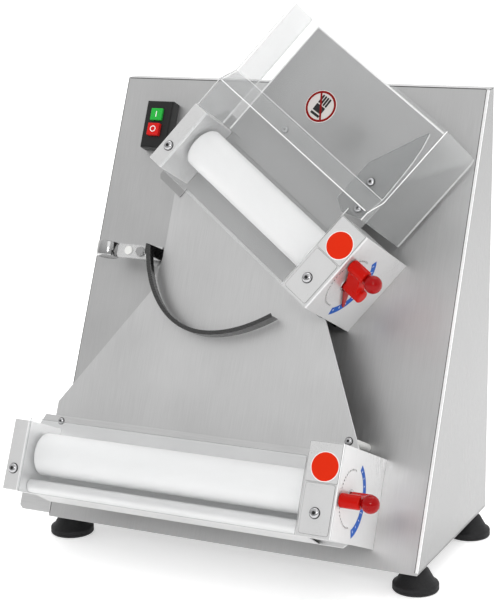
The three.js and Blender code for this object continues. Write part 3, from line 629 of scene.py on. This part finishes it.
PIVOT_AT = (-145.2, 311)
WEIGHT_X = -189.5
BAR_Z = (34, 37)  # the rocker's flat bar
BAND_Z = (58.4, 74)  # its curved band


def bezier(points, steps):
    """Points along one Bezier curve of any degree."""
    result = []
    for k in range(steps + 1):
        t = k / steps
        level = [Vector(p) for p in points]
        while len(level) > 1:
            level = [a.lerp(b, t) for a, b in zip(level, level[1:])]
        result.append(level[0])
    return result


def band_edge(steps=36):
    """The outer edge of the rocker's band: down from the bar, round, and up to its free end."""
    first = bezier([(-119.5, 312), (-114, 264), (-82, 216), (-28, 218.5)], steps)
    return first + bezier([(-28, 218.5), (8, 220), (47, 245)], steps)[1:]


def band_strip(offset, width):
    """A strip inside the band's edge, as an outline."""
    path = band_edge()
    near, far = [], []
    for i, point in enumerate(path):
        along = (path[min(i + 1, len(path) - 1)] - path[max(i - 1, 0)]).normalized()
        inward = Vector((-along.y, along.x))
        near.append(tuple(point + inward * offset))
        far.append(tuple(point + inward * (offset + width)))
    return near + far[::-1]


def rocker():
    """The flat bar on its pivot, and the curved band it carries."""
    neck, half, left, shoulder, end = 5, 8, -196.5, -174.5, -118.5
    y = PIVOT_AT[1]
    outline = [(left, y - neck), (shoulder - 2, y - neck), (shoulder, y - half), (end, y - half),
               (end, y + half), (shoulder, y + half), (shoulder - 2, y + neck), (left, y + neck)]
    bar = solid((prism, rounded(outline, 1.2, 3), *BAR_Z, "z", [circle(PIVOT_AT, 4.15)]))
    # The bar's bevels take the dark second material: painted shade along its edges.
    emit("rocker_bar", bar, FRONT, [STEEL_BRACKET, SEAM_AND_EDGE_SHADE], "rocker", ("rocker_arm",), 0.5,
         sharp=50, rim=1)
    low, high = BAND_Z
    web = solid((prism, band_strip(0, 1.6), low, high))
    lip = solid((prism, band_strip(0, 4.6), high - 1.4, high))
    side = [(y + 5, BAR_Z[0]), (y + 3, high - 0.5), (y - 8, high - 0.5), (y - half, BAR_Z[0])]
    bracket = solid((prism, side, -120.5, -118.2, "x"))
    band = combine(web, [lip, bracket], "UNION")
    # The band takes the near-black material: painted shade.
    emit("rocker_band", band, FRONT, BAND_PAINTED_SHADE, "rocker", bevel=0.25, sharp=40)


def rocker_fittings():
    """The rocker's bolt and sleeve, its nylon bumper and its drum-shaped weight."""
    y = PIVOT_AT[1]
    middle = sum(BAR_Z) / 2
    sleeve = [(0, GAP), (7.5, GAP), (8, 0.9), (8, 32.9), (7.5, 33.5), (4, 33.5), (4, 38), (5.8, 38),
              (5.8, 38.6), (0, 38.6)]
    bm = solid((lathe, sleeve, "z", PIVOT_AT, 48), (prism, circle(PIVOT_AT, 5.4, 6, 0.3), 38.6, 42))
    emit("rocker_bolt", bm, FRONT, DRUM_STEEL, "cabinet", ("rocker_pivot",), 0.35)
    disc = [(0, BAR_Z[1] + 0.05), (4.7, BAR_Z[1] + 0.05), (5, 37.5), (5, 38.4), (4.5, 38.9), (0, 38.9)]
    bm = solid((lathe, disc, "z", (-161.5, y + 0.5), 40))
    emit("rocker_bumper", bm, FRONT, NYLON, "rocker")
    rim, radius = 8.5, 13
    drum = [(0, y - rim), (radius - 1.4, y - rim), (radius - 0.4, y - rim + 0.5), (radius, y - rim + 1.5),
            (radius, y + rim - 1.5), (radius - 0.4, y + rim - 0.5), (radius - 1.4, y + rim), (0, y + rim)]
    slot = solid((box, (-197.5, -166.5), (y - 5.3, y + 5.3), (BAR_Z[0] - 0.3, BAR_Z[1] + 0.3)))
    bm = combine(solid((lathe, drum, "y", (middle, WEIGHT_X), 72)), [slot], "DIFFERENCE")
    emit("rocker_drum", bm, FRONT, DRUM_STEEL, "rocker", ("rocker_weight",), sharp=40)
    screws("rocker_screw", [(middle, WEIGHT_X)], y + rim, FRONT, "rocker", 3.2, 1.8, "y")


rocker()
rocker_fittings()


# ---- Roller groups ----------------------------------------------------------------------------
def roller_profile(left, bore):
    """Half-section of a roller with rounded ends, from its bore at one end to its bore at the other."""
    radius, soft, steps = 23.2, 3, 6
    x0, x1 = left + 3, -DIAL_BOX - 3
    profile = [(bore, x0)]
    for i in range(steps + 1):
        angle = math.pi / 2 * i / steps
        profile.append((radius - soft + soft * math.sin(angle), x0 + soft - soft * math.cos(angle)))
    profile += [(r, x0 + x1 - x) for r, x in profile[::-1]]
    return profile


def rollers(name, g):
    """The two white rollers, the rear one with its shaft ends, and the front one's shaft."""
    left, matrix = g["left"], g["frame"]
    bm = solid((lathe, roller_profile(left, 8.3), "x", (PIVOT_Y, g["front_z"]), 96, True))
    piece = name + "_front_roller"
    emit(piece + "_white", bm, matrix, ROLLER_WHITE, name + "_front", (piece,))
    ends = [(0, left - 16.5), (5.6, left - 16.5), (6, left - 16.1)]
    tail = [(6, -14.4), (5.6, -14), (0, -14)]
    bm = solid((lathe, ends + roller_profile(left, 6) + tail, "x", (PIVOT_Y, REAR_Z), 96))
    piece = name + "_rear_roller"
    emit(piece + "_white", bm, matrix, ROLLER_WHITE, name + "_rear", (piece,))
    shaft = [(0, left - 16.5), (5.6, left - 16.5), (6, left - 16.1), (6, left + 0.8), (8, left + 0.8),
             (8, -DIAL_BOX - 0.8), (6, -DIAL_BOX - 0.8), (6, -26.4), (5.6, -26), (0, -26)]
    bm = solid((lathe, shaft, "x", (PIVOT_Y, g["front_z"]), 48))
    piece = name + "_front_shaft"
    emit(piece + "_turned", bm, matrix, SHAFT_STEEL, name + "_front", (piece,))


def pulleys(name, g):
    """The grooved pulleys on the rear roller and on the motor's shaft."""
    matrix = g["frame"]
    groove = [(20.1, -30), (20.5, -29.6), (20.5, -28.8), (20.1, -28.4), (17, -28.4), (17, -17.6),
              (20.1, -17.6), (20.5, -17.2), (20.5, -16.4), (20.1, -16)]
    bm = solid((lathe, [(6.3, -30), *groove, (6.3, -16)], "x", (PIVOT_Y, REAR_Z), 64, True))
    piece = name + "_rear_pulley"
    emit(piece + "_turned", bm, matrix, SHAFT_STEEL, name + "_rear", (piece,))
    stub = [(0, -56), (5.6, -56), (6, -55.6), (6, -30)]
    bm = solid((lathe, [*stub, *groove, (0, -16)], "x", (g["motor"], -50), 64))
    piece = name + "_motor_pulley"
    emit(piece + "_turned", bm, matrix, SHAFT_STEEL, name + "_motor_shaft", (piece,))


def bearing_slot(low, high):
    """The hole through a bracket in which the front roller's carrier slides."""
    return solid((box, (low, high), (PIVOT_Y - 9.3, PIVOT_Y + 9.3), (LEVER_Z - 13.4, LEVER_Z + 13.4)))


def left_bracket(name, g):
    """The bent bracket at the rollers' left end, with its screw."""
    left = g["left"]
    line = [(DEPTH, left - 18.5), (DEPTH, left), (PLATE_FACE, left)]
    bm = solid((prism, folded(line, SHEET, 2), BRACKET_LOW, 97, "y"))
    bm = combine(bm, [bearing_slot(left - 3, left + 2)], "DIFFERENCE")
    # The bracket's bevels take the near-white second material: painted highlight on its bends.
    emit(name + "_left_bracket_bent", bm, g["frame"], [STEEL_BRACKET, PAINTED_HIGHLIGHT_STEEL], "cabinet",
         (name + "_left_bracket",), 0.4, sharp=45, rim=1)
    screws(name + "_left_screw", [(left - 9.6, 43.3)], DEPTH, g["frame"], radius=5.2, height=3.3)


INDEX_ANGLES = [math.radians(-8 + 8.17 * i) for i in range(25)]
LABEL = 0.5  # thickness of the plates stuck on the dial box


def dial_point(angle, radius):
    """A point on the dial's face, round the lever's axis."""
    return (PIVOT_Y + radius * math.cos(angle), LEVER_Z + radius * math.sin(angle))


def dial_bracket(name, g):
    """The box at the rollers' right end, its index holes, label plates, screw and orange dot."""
    matrix = g["frame"]
    top = 116
    line = [(PLATE_FACE, -DIAL_BOX), (DEPTH, -DIAL_BOX), (DEPTH, 0), (GAP, 0)]
    shell = solid((prism, folded(line, SHEET, 2), BRACKET_LOW, top, "y"))
    inside = [(-DIAL_BOX + 0.8, -0.8), (PLATE_FACE, DEPTH - 0.8)]
    ends = solid((box, inside[0], (BRACKET_LOW, BRACKET_LOW + SHEET), inside[1]),
                 (box, inside[0], (top - SHEET, top), inside[1]))
    shell = combine(shell, [ends], "UNION")
    holes = bmesh.new()
    for angle in INDEX_ANGLES:
        prism(holes, circle(dial_point(angle, LEVER_ARM), 1.25, 12), -4, 3, "x")
    prism(holes, circle((PIVOT_Y, LEVER_Z), 5.15), -4, 3, "x")
    shell = combine(shell, [bearing_slot(-DIAL_BOX - 2, -DIAL_BOX + 3), holes], "DIFFERENCE")
    emit(name + "_dial_bracket_bent", shell, matrix, STEEL_BRACKET, "cabinet",
         (name + "_dial_bracket",), 0.15, sharp=45)
    screws(name + "_dial_screw", [(-21, 44)], DEPTH + LABEL, matrix, radius=5.3, height=3.3)
    labels = {"lower": (-35.5, -3.5, 22.5, 74, 2.5, 0.4), "upper": (-37.5, -1.8, 75, 115.5, 1.5, 0.3)}
    for half, (*outline, bevel) in labels.items():
        plate = solid((prism, rect(*outline), DEPTH + 0.02, DEPTH + LABEL))
        # Each plate's bevelled rim takes the dark second material: painted shade along its edge.
        emit(f"{name}_{half}_label", plate, matrix, [STEEL_BRACKET, SEAM_AND_EDGE_SHADE], "cabinet",
             bevel=bevel, sharp=50, rim=1)
    dot = bmesh.new()
    for material, (radius, low, high) in enumerate(((15.4, 0.01, 0.16), (14.6, 0.17, 0.3))):
        low, high = DEPTH + LABEL + low, DEPTH + LABEL + high
        disc = [(0, low), (radius, low), (radius - 0.1, high), (0, high)]
        lathe(dot, disc, "z", (-17.8, 91), 72, material=material)
    emit(name + "_warning_dot", dot, matrix, [STICKER_WHITE, DOT_ORANGE], "cabinet")


def dial(name, g):
    """The printed scale beside the lever: a blue band that widens with the gap, and short marks."""
    matrix = g["frame"]
    near, far = [], []
    radius, steps = 38, 40
    for k in range(steps + 1):
        t = k / steps
        angle = math.radians(-28 - 128 * t)
        half = 3.3 + 1.3 * min(1, 1.35 * t)
        near.append(dial_point(angle, radius - half))
        far.append(dial_point(angle, radius + half))
    band = solid((prism, near + far[::-1], 0.02, 0.2, "x"))
    emit(name + "_dial_band", band, matrix, DIAL_BLUE, "cabinet")
    marks = bmesh.new()
    for k in range(9):
        angle = math.radians(-36 - 14.2 * k)
        radial = Vector((math.cos(angle), math.sin(angle)))
        across = Vector((-radial.y, radial.x)) * 0.35
        inner = Vector(dial_point(angle, radius - 2.4))
        outer = Vector(dial_point(angle, radius + 0.4))
        corners = (inner - across, outer - across, outer + across, inner + across)
        prism(marks, [tuple(corner) for corner in corners], 0.21, 0.27, "x")
    emit(name + "_dial_marks", marks, matrix, STICKER_WHITE, "cabinet")
    profile = [(5.2, 0.05), (9.6, 0.05), (9.9, 0.3), (9.6, 0.8), (5.2, 0.8)]
    washer = solid((lathe, profile, "x", (PIVOT_Y, LEVER_Z), 48, True))
    emit(name + "_dial_washer", washer, matrix, CHROME, "cabinet")


def lever(name, g):
    """The lever, its pointer, and the cam shaft behind it that moves the front roller."""
    rest = math.radians(g["lever"])
    matrix = g["axis"] @ Matrix.Rotation(rest, 4, "X")
    body = name + "_lever"
    bm = bmesh.new()
    for y, end in ((0, 24), (LEVER_ARM, 23)):
        profile = [(0, 1), (7, 1), (7.5, 1.6), (7.5, end - 1.5), (7.1, end - 0.5), (6.2, end), (0, end)]
        lathe(bm, profile, "x", (y, 0), 48)
    web = rounded([(-3, -6), (LEVER_ARM + 3, -6), (LEVER_ARM + 3, 6), (-3, 6)], 2.5)
    prism(bm, web, 2.4, 19.5, "x")
    bm = melt(bm, 0.55, 6)
    bores = solid((lathe, [(0, -5), (5.3, -5), (5.3, 19.3), (0, 19.3)], "x", (0, 0), 40),
                  (lathe, [(0, -5), (3.15, -5), (3.15, 40), (0, 40)], "x", (LEVER_ARM, 0), 32))
    bm = combine(bm, [bores], "DIFFERENCE")
    emit(body + "_moulded", bm, matrix, RED, body, (body,), sharp=50)
    needle = solid((prism, rounded([(-7.6, -5), (-36, -1.2), (-36, 1.2), (-7.6, 5)], 1), 1.1, 3.2, "x"))
    emit(name + "_pointer", needle, matrix, POINTER_RED, body, bevel=0.4)
    shank = solid((lathe, [(0, -17), (5, -17), (5, 18.6), (4.6, 19), (0, 19)], "x", (0, 0), 40))
    cam = solid((lathe, [(0, -23.5), (7.4, -23.5), (7.4, -16), (0, -16)], "x", (0, SLIDE_HALF), 48))
    turned = g["axis"] @ Matrix.Rotation(rest + math.pi, 4, "X")
    shaft = name + "_cam_shaft"
    emit(shaft + "_turned", combine(shank, [cam], "UNION"), turned, SHAFT_STEEL, body,
         (shaft,), 0.2, sharp=50)


def plunger(name, g):
    """The steel pin in the lever's sleeve, with its red ball."""
    matrix = g["axis"] @ Matrix.Rotation(math.radians(g["lever"]), 4, "X")
    body = name + "_plunger"
    bm = bmesh.new()
    ball_x, ball_r, neck, steps = 32.6, 9.5, 3.6, 24
    pin = [(0, 0.4), (2.2, 0.4), (3, 1.6), (3, 22.2)]
    lathe(bm, [*pin, (0, 22.2)], "x", (LEVER_ARM, 0), 32, material=1)
    start = math.asin(neck / ball_r)
    angles = [start + (math.pi - start) * k / steps for k in range(steps)]
    ball = [(ball_r * math.sin(a), ball_x - ball_r * math.cos(a)) for a in angles]
    lathe(bm, [(0, 22.25), (2.9, 22.25), (neck, 23.2), *ball, (0, ball_x + ball_r)], "x", (LEVER_ARM, 0), 56)
    emit(body + "_knob", bm, matrix, [BALL_RED, CHROME], body, (body,))


def build_group(name, g):
    """Every piece of one roller group but its guards."""
    # The upper backing plate takes the darker under-hood steel as painted shade, the lower one the lighter
    # plate steel.
    plate = {"lower": STEEL_PLATE, "upper": STEEL_UNDER_HOOD_SHADE}[name]
    soften(name + "_backing_plate", plate, "cabinet", 0.45)
    soften(name + "_rear_frame", STEEL_SIDE, "cabinet", 0.35)
    soften(name + "_gear_cover", STEEL_BRACKET, "cabinet", 0.4)
    soften(name + "_gear_motor", MOTOR_GREY, "cabinet", 0.8)
    soften(name + "_belt", RUBBER, "cabinet", 0.3)
    for piece in ("_rear_gear", "_front_gear"):
        soften(name + piece, GEAR_WHITE, name + piece.split("_gear")[0], 0.25)
    for piece in ("_carrier_left", "_carrier_right"):
        soften(name + piece, SHAFT_STEEL, name + "_carrier", 0.4)
    rollers(name, g)
    pulleys(name, g)
    left_bracket(name, g)
    dial_bracket(name, g)
    dial(name, g)
    lever(name, g)
    plunger(name, g)


for name, g in GROUPS.items():
    build_group(name, g)


# ---- Sheets and guards ------------------------------------------------------------------------
def clear_piece(name, bm, matrix, replaced, bevel, faces=CLEAR):
    """A clear piece with a painted highlight on its cut edges, and painted shade on its bevels, its slanting
    fold and its cheeks.

    A face is a cut edge where the material behind it is thicker than any sheet.
    """
    bmesh.ops.remove_doubles(bm, verts=bm.verts, dist=1e-4)
    bmesh.ops.recalc_face_normals(bm, faces=bm.faces)
    bm.normal_update()
    tree = BVHTree.FromBMesh(bm)
    thickest = 3.5
    # Cut edges take the painted highlight; slanting faces and side faces take painted shade.
    for face in bm.faces:
        inside = face.calc_center_median() - face.normal * 0.02
        reach = tree.ray_cast(inside, -face.normal, 50)[3]
        if reach is None or reach > thickest:
            face.material_index = 1
        elif 0.4 < abs(face.normal.y) < 0.9:
            face.material_index = 2
        elif abs(face.normal.x) > 0.9:
            face.material_index = 4
    materials = [faces, CLEAR_EDGE_HIGHLIGHT, CLEAR_FOLD_SHADE, CLEAR_RIM_SHADE, CLEAR_CHEEK_SHADE]
    return emit(name, bm, matrix, materials, "cabinet", replaced, bevel, 1, 40, 3)


lower = GROUPS["lower"]
upper = GROUPS["upper"]
# The guard's milkier sheet is painted light over the shade under the rollers.
guard = solid((box, (lower["left"] + 0.4, -DIAL_BOX - 0.4), (20, 100), (DEPTH - 2, DEPTH)))
clear_piece("lower_guard_clear", guard, lower["frame"], ("lower_guard",), 0.35, CLEAR_GUARD_PAINTED_LIGHT)


def discharge():
    """The sheet under the lower rollers, rolled over at its front edge."""
    nose = circle((28.5, 102), 7, 24, math.radians(-5.4), math.radians(190.8))
    line = [(44, 57.6), (39, 66), (36.4, 82), *nose, (15.5, 57.6)]
    path = [Vector(p) for p in line]
    inner = []
    for i, point in enumerate(path):
        along = (path[min(i + 1, len(path) - 1)] - path[max(i - 1, 0)]).normalized()
        inner.append(tuple(point + Vector((along.y, -along.x)) * -1.2))
    bm = solid((prism, line + inner[::-1], lower["left"] + 0.8, -DIAL_BOX - 0.8, "x"))
    emit("discharge_sheet_bent", bm, lower["frame"], STEEL_SOFT, "cabinet",
         ("discharge_sheet",), sharp=50)


discharge()
# The infeed plate takes the darker under-hood steel: painted shade.
soften("infeed_plate", STEEL_UNDER_HOOD_SHADE, "cabinet", 0.4)

HOOD = {"left": -258, "right": -19.5, "top": 250, "low": 97.5, "over_dial": 125, "face": 112}


def hood():
    """The clear hood over the upper rollers, painted highlight lines on its creases, and the small tab on
    its face.
    """
    sheet, sunk = 2, 0.5
    left, right, top, low, over, face = HOOD.values()
    slope = [(135, DEPTH), (153, face), (top, face)]
    front = solid((prism, folded([(BRACKET_LOW, DEPTH), *slope], -sheet, 4), left, right, "x"))
    cuts = [solid((box, (left - 5, upper["left"] + 0.4), (0, low), (100, 140))),
            solid((box, (-DIAL_BOX - 0.4, right + 5), (0, over), (100, 140)))]
    front = combine(front, cuts, "DIFFERENCE")
    edge = [(y, z - sunk) for y, z in rounded([(110, DEPTH), *slope], 4, closed=False)[1:]]

    def cheek(x, start, rear, corner):
        back = rounded([(top, face), (top, rear), (start, rear)], corner, closed=False)[1:-1]
        return solid((prism, [(start, rear), (start, DEPTH - sunk), *edge, *back], x, x + sheet, "x"))

    bm = combine(front, [cheek(left, low, 60, 5), cheek(right - sheet, over, 6, 8)], "UNION")
    clear_piece("hood_clear", bm, upper["frame"], ("hood",), 0.55)
    # Near-white strips along the two creases: painted highlight.
    crease_highlight = solid((box, (left + 3, right - 3), (134.2, 135.4), (DEPTH - 0.45, DEPTH + 0.02)),
                   (box, (left + 3, right - 3), (153.6, 154.2), (face - 0.4, face + 0.02)))
    emit("hood_crease_highlights", crease_highlight, upper["frame"], CLEAR_EDGE_HIGHLIGHT, "cabinet")
    # The tab takes a dark grey clear tint: painted shade.
    tab = [(-65, 173), (-65, 125), (-50, 116.6), (-28, 125), (-24, 158), (-26, 201), (-29, 221), (-34, 240)]
    bm = solid((prism, rounded(tab, 1.5, 3), 107, 109.5))
    clear_piece("hood_tab", bm, upper["frame"], (), 0.5, CLEAR_TAB_SHADE)
    screws("hood_screws", [(-46, 160), (-37, 131)], face, upper["frame"], radius=4.2, height=2.6)


hood()


def sign():
    """A round red and white sign with a plain mark of a block and four bars behind its slash."""
    centre = Vector((-148.5, 184))
    base = HOOD["face"] + 0.05
    ink, slash = (base + 0.16, base + 0.26), (base + 0.28, base + 0.34)
    bm = bmesh.new()
    lathe(bm, [(0, base), (17.9, base), (17.8, base + 0.15), (0, base + 0.15)], "z", centre, 72)
    ring, ground = circle(centre, 17.4, 72), circle(centre, 14.8, 72)
    prism(bm, ring, base + 0.16, base + 0.3, holes=[ground], material=1)
    disc = [(0, base + 0.151), (14.7, base + 0.151), (14.7, base + 0.159), (0, base + 0.159)]
    lathe(bm, disc, "z", centre, 72, material=3)
    turn = math.radians(96 - upper["turn"])
    along = Vector((math.cos(turn), math.sin(turn)))
    lean = Matrix.Rotation(math.radians(-38), 2) @ along

    def slab(way, length, width, at=(0, 0)):
        across = Vector((-way.y, way.x))
        middle = centre + way * at[0] + across * at[1]
        corners = ((-1, -1), (1, -1), (1, 1), (-1, 1))
        return [tuple(middle + way * a * length + across * b * width) for a, b in corners]

    prism(bm, rounded(slab(lean, 4.1, 6, (-3.2, 0)), 0.8), *ink, material=2)
    prism(bm, rounded(slab(lean, 1.4, 6, (-10.2, 0)), 0.4), *ink, material=2)
    for i in range(4):
        prism(bm, rounded(slab(lean, 5.2, 1.15, (7, 3.2 * i - 4.8)), 1), *ink, material=2)
    prism(bm, slab(along, 15.3, 1.1), *slash, material=1)
    prints = [STICKER_WHITE, SIGN_RED, INK, SIGN_GREY]
    emit("hood_sign", bm, upper["frame"], prints, "cabinet")


sign()


# ---- Seams, painted edge highlights and shade, and small screws -------------------------------
def seams():
    """Painted highlights on the front panel's folded edge and on the infeed plate's edges, and dark lines of
    seams and painted shade on the front panel.
    """
    length = math.hypot(CABINET["height"], CABINET["base"] - CABINET["top"])
    skin = 0.06
    # A thin near-white skin over the right-hand fold: painted highlight.
    bm = solid((box, (HALF - 2.6, HALF + skin), (3, length - 2), (-0.4, skin)),
               (box, (HALF - 0.4, HALF + skin), (3, length - 2), (-2.6, -0.4)))
    emit("front_fold_painted_highlight", bm, FRONT, PAINTED_HIGHLIGHT_STEEL, "cabinet")
    # Dark lines beside the bright fold and along the top and left edges: seams and painted shade at the
    # bends.
    dark = solid((box, (HALF - 3.5, HALF - 2.7), (3, length - 2), (-0.2, skin)),
                 (box, (HALF - 0.2, HALF + skin), (3, length - 2), (-3.5, -2.7)),
                 (box, (2 - HALF, HALF - 3.5), (length - 1.9, length - 0.9), (-0.2, skin)),
                 (box, (0.5 - HALF, 1.2 - HALF), (3, length - 2), (-0.2, skin)))
    emit("front_seams_and_edge_shade", dark, FRONT, SEAM_AND_EDGE_SHADE, "cabinet")
    face = (58.7, 58.9)
    # Near-white strips on the infeed plate's left and top edges: painted highlight.
    edge_highlight = solid((box, (-246.9, -244.9), (98.5, 248.9), face), (box, (-244.9, -44.2), (246.9, 248.9), face))
    emit("infeed_edge_painted_highlight", edge_highlight, upper["frame"], PAINTED_HIGHLIGHT_STEEL, "cabinet")


seams()
screws("lower_plate_screw", [(-369.5, 106)], 57, lower["frame"], radius=3.4, height=2.4)
screws("upper_plate_screw", [(-11.5, 21)], 57, upper["frame"], radius=3.4, height=2.4)
screws("infeed_screw", [(-192, 139)], 58.8, upper["frame"], radius=3.6, height=2.2)


# ---- Studio -----------------------------------------------------------------------------------
def studio():
    """A pale floor, a world that is brighter behind the object than in front, and three soft lamps."""
    floor = bpy.data.meshes.new("floor")
    size = 30
    corners = [(-size, -size, 0), (size, -size, 0), (size, size, 0), (-size, size, 0)]
    floor.from_pydata(corners, [], [(0, 1, 2, 3)])
    paper = moulded("studio_floor", (0.9, 0.9, 0.9), 0.7, 40, 0.0, 0.3, 0.01)
    glow = paper.node_tree.nodes["Principled BSDF"].inputs
    glow["Emission Color"].default_value = (1, 1, 1, 1)
    glow["Emission Strength"].default_value = 0.46
    floor.materials.append(paper)
    ground = bpy.data.objects.new("floor", floor)
    bpy.context.collection.objects.link(ground)

    world = bpy.data.worlds.new("studio")
    bpy.context.scene.world = world
    world.use_nodes = True
    tree = world.node_tree
    sky = tree.nodes["Background"]
    sky.inputs["Color"].default_value = (1, 1, 1, 1)
    where = tree.nodes.new("ShaderNodeTexCoord").outputs["Generated"]
    parts = tree.nodes.new("ShaderNodeSeparateXYZ")
    tree.links.new(where, parts.inputs[0])

    def ramp(source, values):
        node = tree.nodes.new("ShaderNodeMapRange")
        node.interpolation_type = "SMOOTHSTEP"
        tree.links.new(source, node.inputs["Value"])
        for key, value in values.items():
            if isinstance(value, bpy.types.NodeSocket):
                tree.links.new(value, node.inputs[key])
            else:
                node.inputs[key].default_value = value
        return node.outputs["Result"]

    front = ramp(parts.outputs["Z"], {"From Min": 0.0, "From Max": 0.9, "To Min": 0.5, "To Max": 0.9})
    glow = ramp(parts.outputs["Y"], {"From Min": -0.35, "From Max": 0.35, "To Min": front, "To Max": 1.05})
    tree.links.new(glow, sky.inputs["Strength"])

    def lamp(name, where, size, energy):
        data = bpy.data.lights.new(name, "AREA")
        data.shape = "RECTANGLE"
        data.size, data.size_y = size
        data.energy = energy
        obj = bpy.data.objects.new(name, data)
        bpy.context.collection.objects.link(obj)
        obj.location = where
        aim = Vector((0, 0, 0.25)) - Vector(where)
        obj.rotation_euler = aim.to_track_quat("-Z", "Y").to_euler()

    lamp("key", (1.0, -1.7, 2.5), (1.4, 1.4), 5)
    lamp("spark", (1.1, -2.2, 1.5), (0.6, 0.6), 14)
    lamp("top", (0.0, 1.2, 2.8), (2.4, 1.6), 22)


def camera():
    """The view fitted to the straight edges of the cabinet in the photograph."""
    yaw, pitch, roll = (math.radians(a) for a in (25.76, -12.74, -0.70))
    forward = Vector((-math.sin(yaw) * math.cos(pitch), math.cos(yaw) * math.cos(pitch), math.sin(pitch)))
    right = Vector((math.cos(yaw), math.sin(yaw), 0))
    up = right.cross(forward)
    rolled_right = right * math.cos(roll) + up * math.sin(roll)
    rolled_up = up * math.cos(roll) - right * math.sin(roll)
    data = bpy.data.cameras.new("camera")
    data.sensor_width = 36
    data.lens = 98.93
    data.clip_end = 100
    obj = bpy.data.objects.new("camera", data)
    bpy.context.collection.objects.link(obj)
    basis = Matrix((rolled_right, rolled_up, -forward)).transposed().to_4x4()
    eye = (Vector((768.1, -1521.2, 659.7)) + CABINET_FRAME.translation) * MM
    obj.matrix_world = Matrix.Translation(eye) @ basis
    bpy.context.scene.camera = obj


studio()
camera()
bpy.context.scene.view_settings.view_transform = "Standard"
